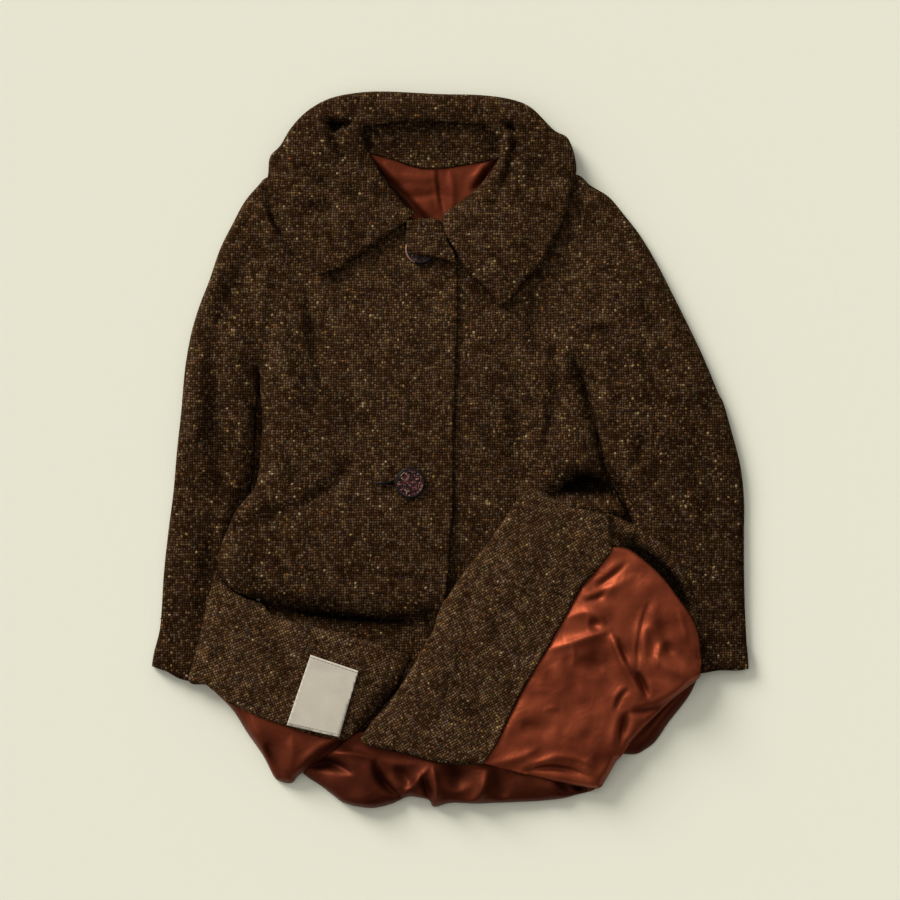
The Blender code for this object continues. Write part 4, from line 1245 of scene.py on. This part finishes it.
def make_button(name, node, weave, highlight_side=None):
    """A turned disc with a rounded rim, a raised ring, and rounded bars laid crosswise over its face.

    Where a side is given as a direction in degrees, a painted highlight lies on the rim there, in a lighter
    colour.
    """
    low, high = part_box(node)
    middle = 0.5 * (low + high)
    base = low.z / MM + FRONT_LIFT
    button = bmesh.new()
    spin_round(button, [(0.0, 0.0), (BUTTON_RADIUS - 3.0, 0.0), (BUTTON_RADIUS - 0.8, 0.9),
                        (BUTTON_RADIUS, 2.3), (BUTTON_RADIUS - 0.4, 3.6), (BUTTON_RADIUS - 1.5, 4.5),
                        (BUTTON_RADIUS - 2.9, 4.4), (BUTTON_FACE + 0.2, 3.3), (BUTTON_FACE - 0.6, 2.9),
                        (0.0, 3.3)])
    bmesh.ops.remove_doubles(button, verts=button.verts, dist=1e-6)
    bmesh.ops.recalc_face_normals(button, faces=button.faces)
    if highlight_side is not None:
        for face in button.faces:
            place = face.calc_center_median() / MM
            turn = abs((math.degrees(math.atan2(place.y, place.x)) - highlight_side + 180) % 360 - 180)
            if turn < HIGHLIGHT_REACH and place.to_2d().length > BUTTON_RADIUS - HIGHLIGHT_WIDTH:
                face.material_index = 2
    spin_round(button, [(BUTTON_FACE + RING_WIDTH * math.cos(turn), RING_HEIGHT + RING_WIDTH * math.sin(turn))
                        for turn in (0.0, 0.25 * math.pi, 0.5 * math.pi, 0.75 * math.pi, math.pi)])
    for face in button.faces:
        place = face.calc_center_median() / MM
        if abs(place.to_2d().length - BUTTON_FACE) < RING_WIDTH and place.z > RING_HEIGHT - 0.05:
            face.material_index = 1
    cells = math.ceil(BUTTON_FACE / BASKET_CELL)
    for column in range(-cells, cells + 1):
        for row in range(-cells, cells + 1):
            lengthwise = (column + row) % 2
            for bar in range(BASKET_BARS):
                offset = (bar - 0.5 * (BASKET_BARS - 1)) * BASKET_CELL / BASKET_BARS
                x = column * BASKET_CELL + (offset if lengthwise else 0.0)
                y = row * BASKET_CELL + (0.0 if lengthwise else offset)
                if math.hypot(x, y) <= BUTTON_FACE - BASKET_MARGIN:
                    add_bar(button, x, y, lengthwise)
    bmesh.ops.translate(button, verts=button.verts, vec=(middle.x, middle.y, base * MM))
    piece = new_object(name, button, HORN, weave, RIM_HIGHLIGHT)
    piece.data.set_sharp_from_angle(angle=math.radians(40))
    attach(piece, "root")
    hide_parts(node)


make_button("button_at_front", "button_front", WEAVE)
make_button("button_at_neck", "button_neck", WEAVE_IN_SHADE, highlight_side=195)


# ---------------------------------------------------------------- the neck tab
# A short doubled tweed tab that crosses the neck under the collar's points and buttons at its rounded end.

TAB_CUT = [
    Rim(5, 0.6, [(-50, 266), (-30, 267), (-12, 265), (-4, 250), (2, 234)]),
    Rim(4, 0.5, [(8, 212), (-4, 217), (-23, 221), (-37, 223), (-45, 226), (-49, 232), (-51, 240),
                 (-50, 250)]),
]

TAB_CREASES = [
    (-5, 246, -21, 259, -37, 262, 7, -1.8),
]

tab = lay_cloth("tab_at_neck", TAB_CUT, TWEED, DOUBLED_WALL - 1.0, follows=["neck_tab"],
                lies_on=["front_right_with_sleeve"], creases=TAB_CREASES, swell=(20, 0.4))
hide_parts("neck_tab")


# ---------------------------------------------------------------- the bound buttonhole
# Two narrow folded lips of the coat's tweed, set into the right front and meeting at a slit.

# The slit between the lips is painted shade, near black.
HOLE_SHADE_COLOR = (0.004, 0.003, 0.002)
HOLE_LIP = 1.3
HOLE_WIDTH = 5.2
HOLE_END_WIDTH = 1.6
HOLE_DEPTH = 0.7
HOLE_ROUNDING = 0.5

low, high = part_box("buttonhole_front")
low.z += FRONT_LIFT * MM
high.z += FRONT_LIFT * MM
middle, length = 0.5 * (low + high), high.x - low.x
lips = bmesh.new()
for side in (-1, 1):
    beside = Vector((0, side * 0.5 * (HOLE_WIDTH + HOLE_LIP) * MM, 0))
    for corner in add_block(lips, middle + beside, (length, HOLE_LIP * MM, high.z - low.z)):
        away = (high.x - corner.co.x) / length
        corner.co.y -= side * away * 0.5 * (HOLE_WIDTH - HOLE_END_WIDTH) * MM
bmesh.ops.bevel(lips, geom=lips.edges[:], offset=HOLE_ROUNDING * MM, segments=3, profile=0.5, affect="EDGES",
                material=-1)
slit = add_block(lips, middle, (length, HOLE_WIDTH * MM, HOLE_DEPTH * (high.z - low.z)))
for corner in slit:
    away = (high.x - corner.co.x) / length
    corner.co.y = middle.y + (corner.co.y - middle.y) * (1.0 - away * (1.0 - HOLE_END_WIDTH / HOLE_WIDTH))
for face in {face for corner in slit for face in corner.link_faces}:
    face.material_index = 1
piece = new_object("buttonhole_lips", lips, TWEED, button_finish("slit_shade", HOLE_SHADE_COLOR))
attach(piece, "root")
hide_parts("buttonhole_front")


# ---------------------------------------------------------------- the label
# A woven cream patch, sewn by hand at its short ends to the right front's facing. It is left bare.

LABEL_COLOR = (0.51, 0.455, 0.355)
STITCH_COLOR = (0.070, 0.045, 0.028)
STITCH_INSET = 2.6
STITCH_WIDTH = 0.9
STITCH_PITCH = 4.2
STITCH_LENGTH = 0.84
STITCH_SHARE = 0.7
RIB_PITCH = (1500.0, 500.0, 1.0)
RIB_SHARE = 0.6
LABEL_CUT = [
    Rim(1, 0.3, [(-160, -235), (-132, -244.5), (-105, -253.5)]),
    Rim(1, 0.3, [(-116, -291), (-127, -329.5)]),
    Rim(1, 0.3, [(-157, -323), (-187.5, -316)]),
]

material, tree, shader = new_finish("label", 0.85, 0.25)
place = place_on_cloth(tree)
threads = {"Vector": place, "Rotation": (0.0, 0.0, math.radians(18.5)), "Scale": RIB_PITCH}
ribs = uneven_on(tree, add_node(tree, "ShaderNodeMapping", threads).outputs[0], 1.0, 2.0)
shade = product(tree, uneven_on(tree, place, 60.0, 2.0), 1.0 - RIB_SHARE)
shade = calc(tree, "MULTIPLY_ADD", ribs, RIB_SHARE, shade)
color = blend_colors(tree, shade, scaled(LABEL_COLOR, 0.72), scaled(LABEL_COLOR, 1.22))
for start, end in [((-160, -235), (-105, -253.5)), ((-127, -329.5), (-187.5, -316))]:
    run = (Vector(end) - Vector(start)).normalized()
    inward = Vector((run.y, -run.x))
    row = (Vector(start) + STITCH_INSET * inward).to_3d() * MM
    from_row = add_node(tree, "ShaderNodeVectorMath", {0: place, 1: row}, operation="SUBTRACT").outputs[0]
    ahead, away = [add_node(tree, "ShaderNodeVectorMath", {0: from_row, 1: way.to_3d()},
                            operation="DOT_PRODUCT").outputs["Value"] for way in (run, inward)]
    near = calc(tree, "LESS_THAN", calc(tree, "ABSOLUTE", away), STITCH_WIDTH * 0.5 * MM)
    part = calc(tree, "FRACT", calc(tree, "DIVIDE", ahead, STITCH_PITCH * MM))
    stitch = product(tree, near, calc(tree, "LESS_THAN", part, STITCH_LENGTH), STITCH_SHARE)
    color = blend_colors(tree, stitch, color, STITCH_COLOR)
dress(tree, shader, color, ribs, 0.5, 0.3)
label = lay_cloth("label_patch", LABEL_CUT, material, 0.8, follows=["label"], lies_on=["facing_right_front"],
                  cell=2.6, swell=(20, 0.2), lift=0.9)
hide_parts("label")
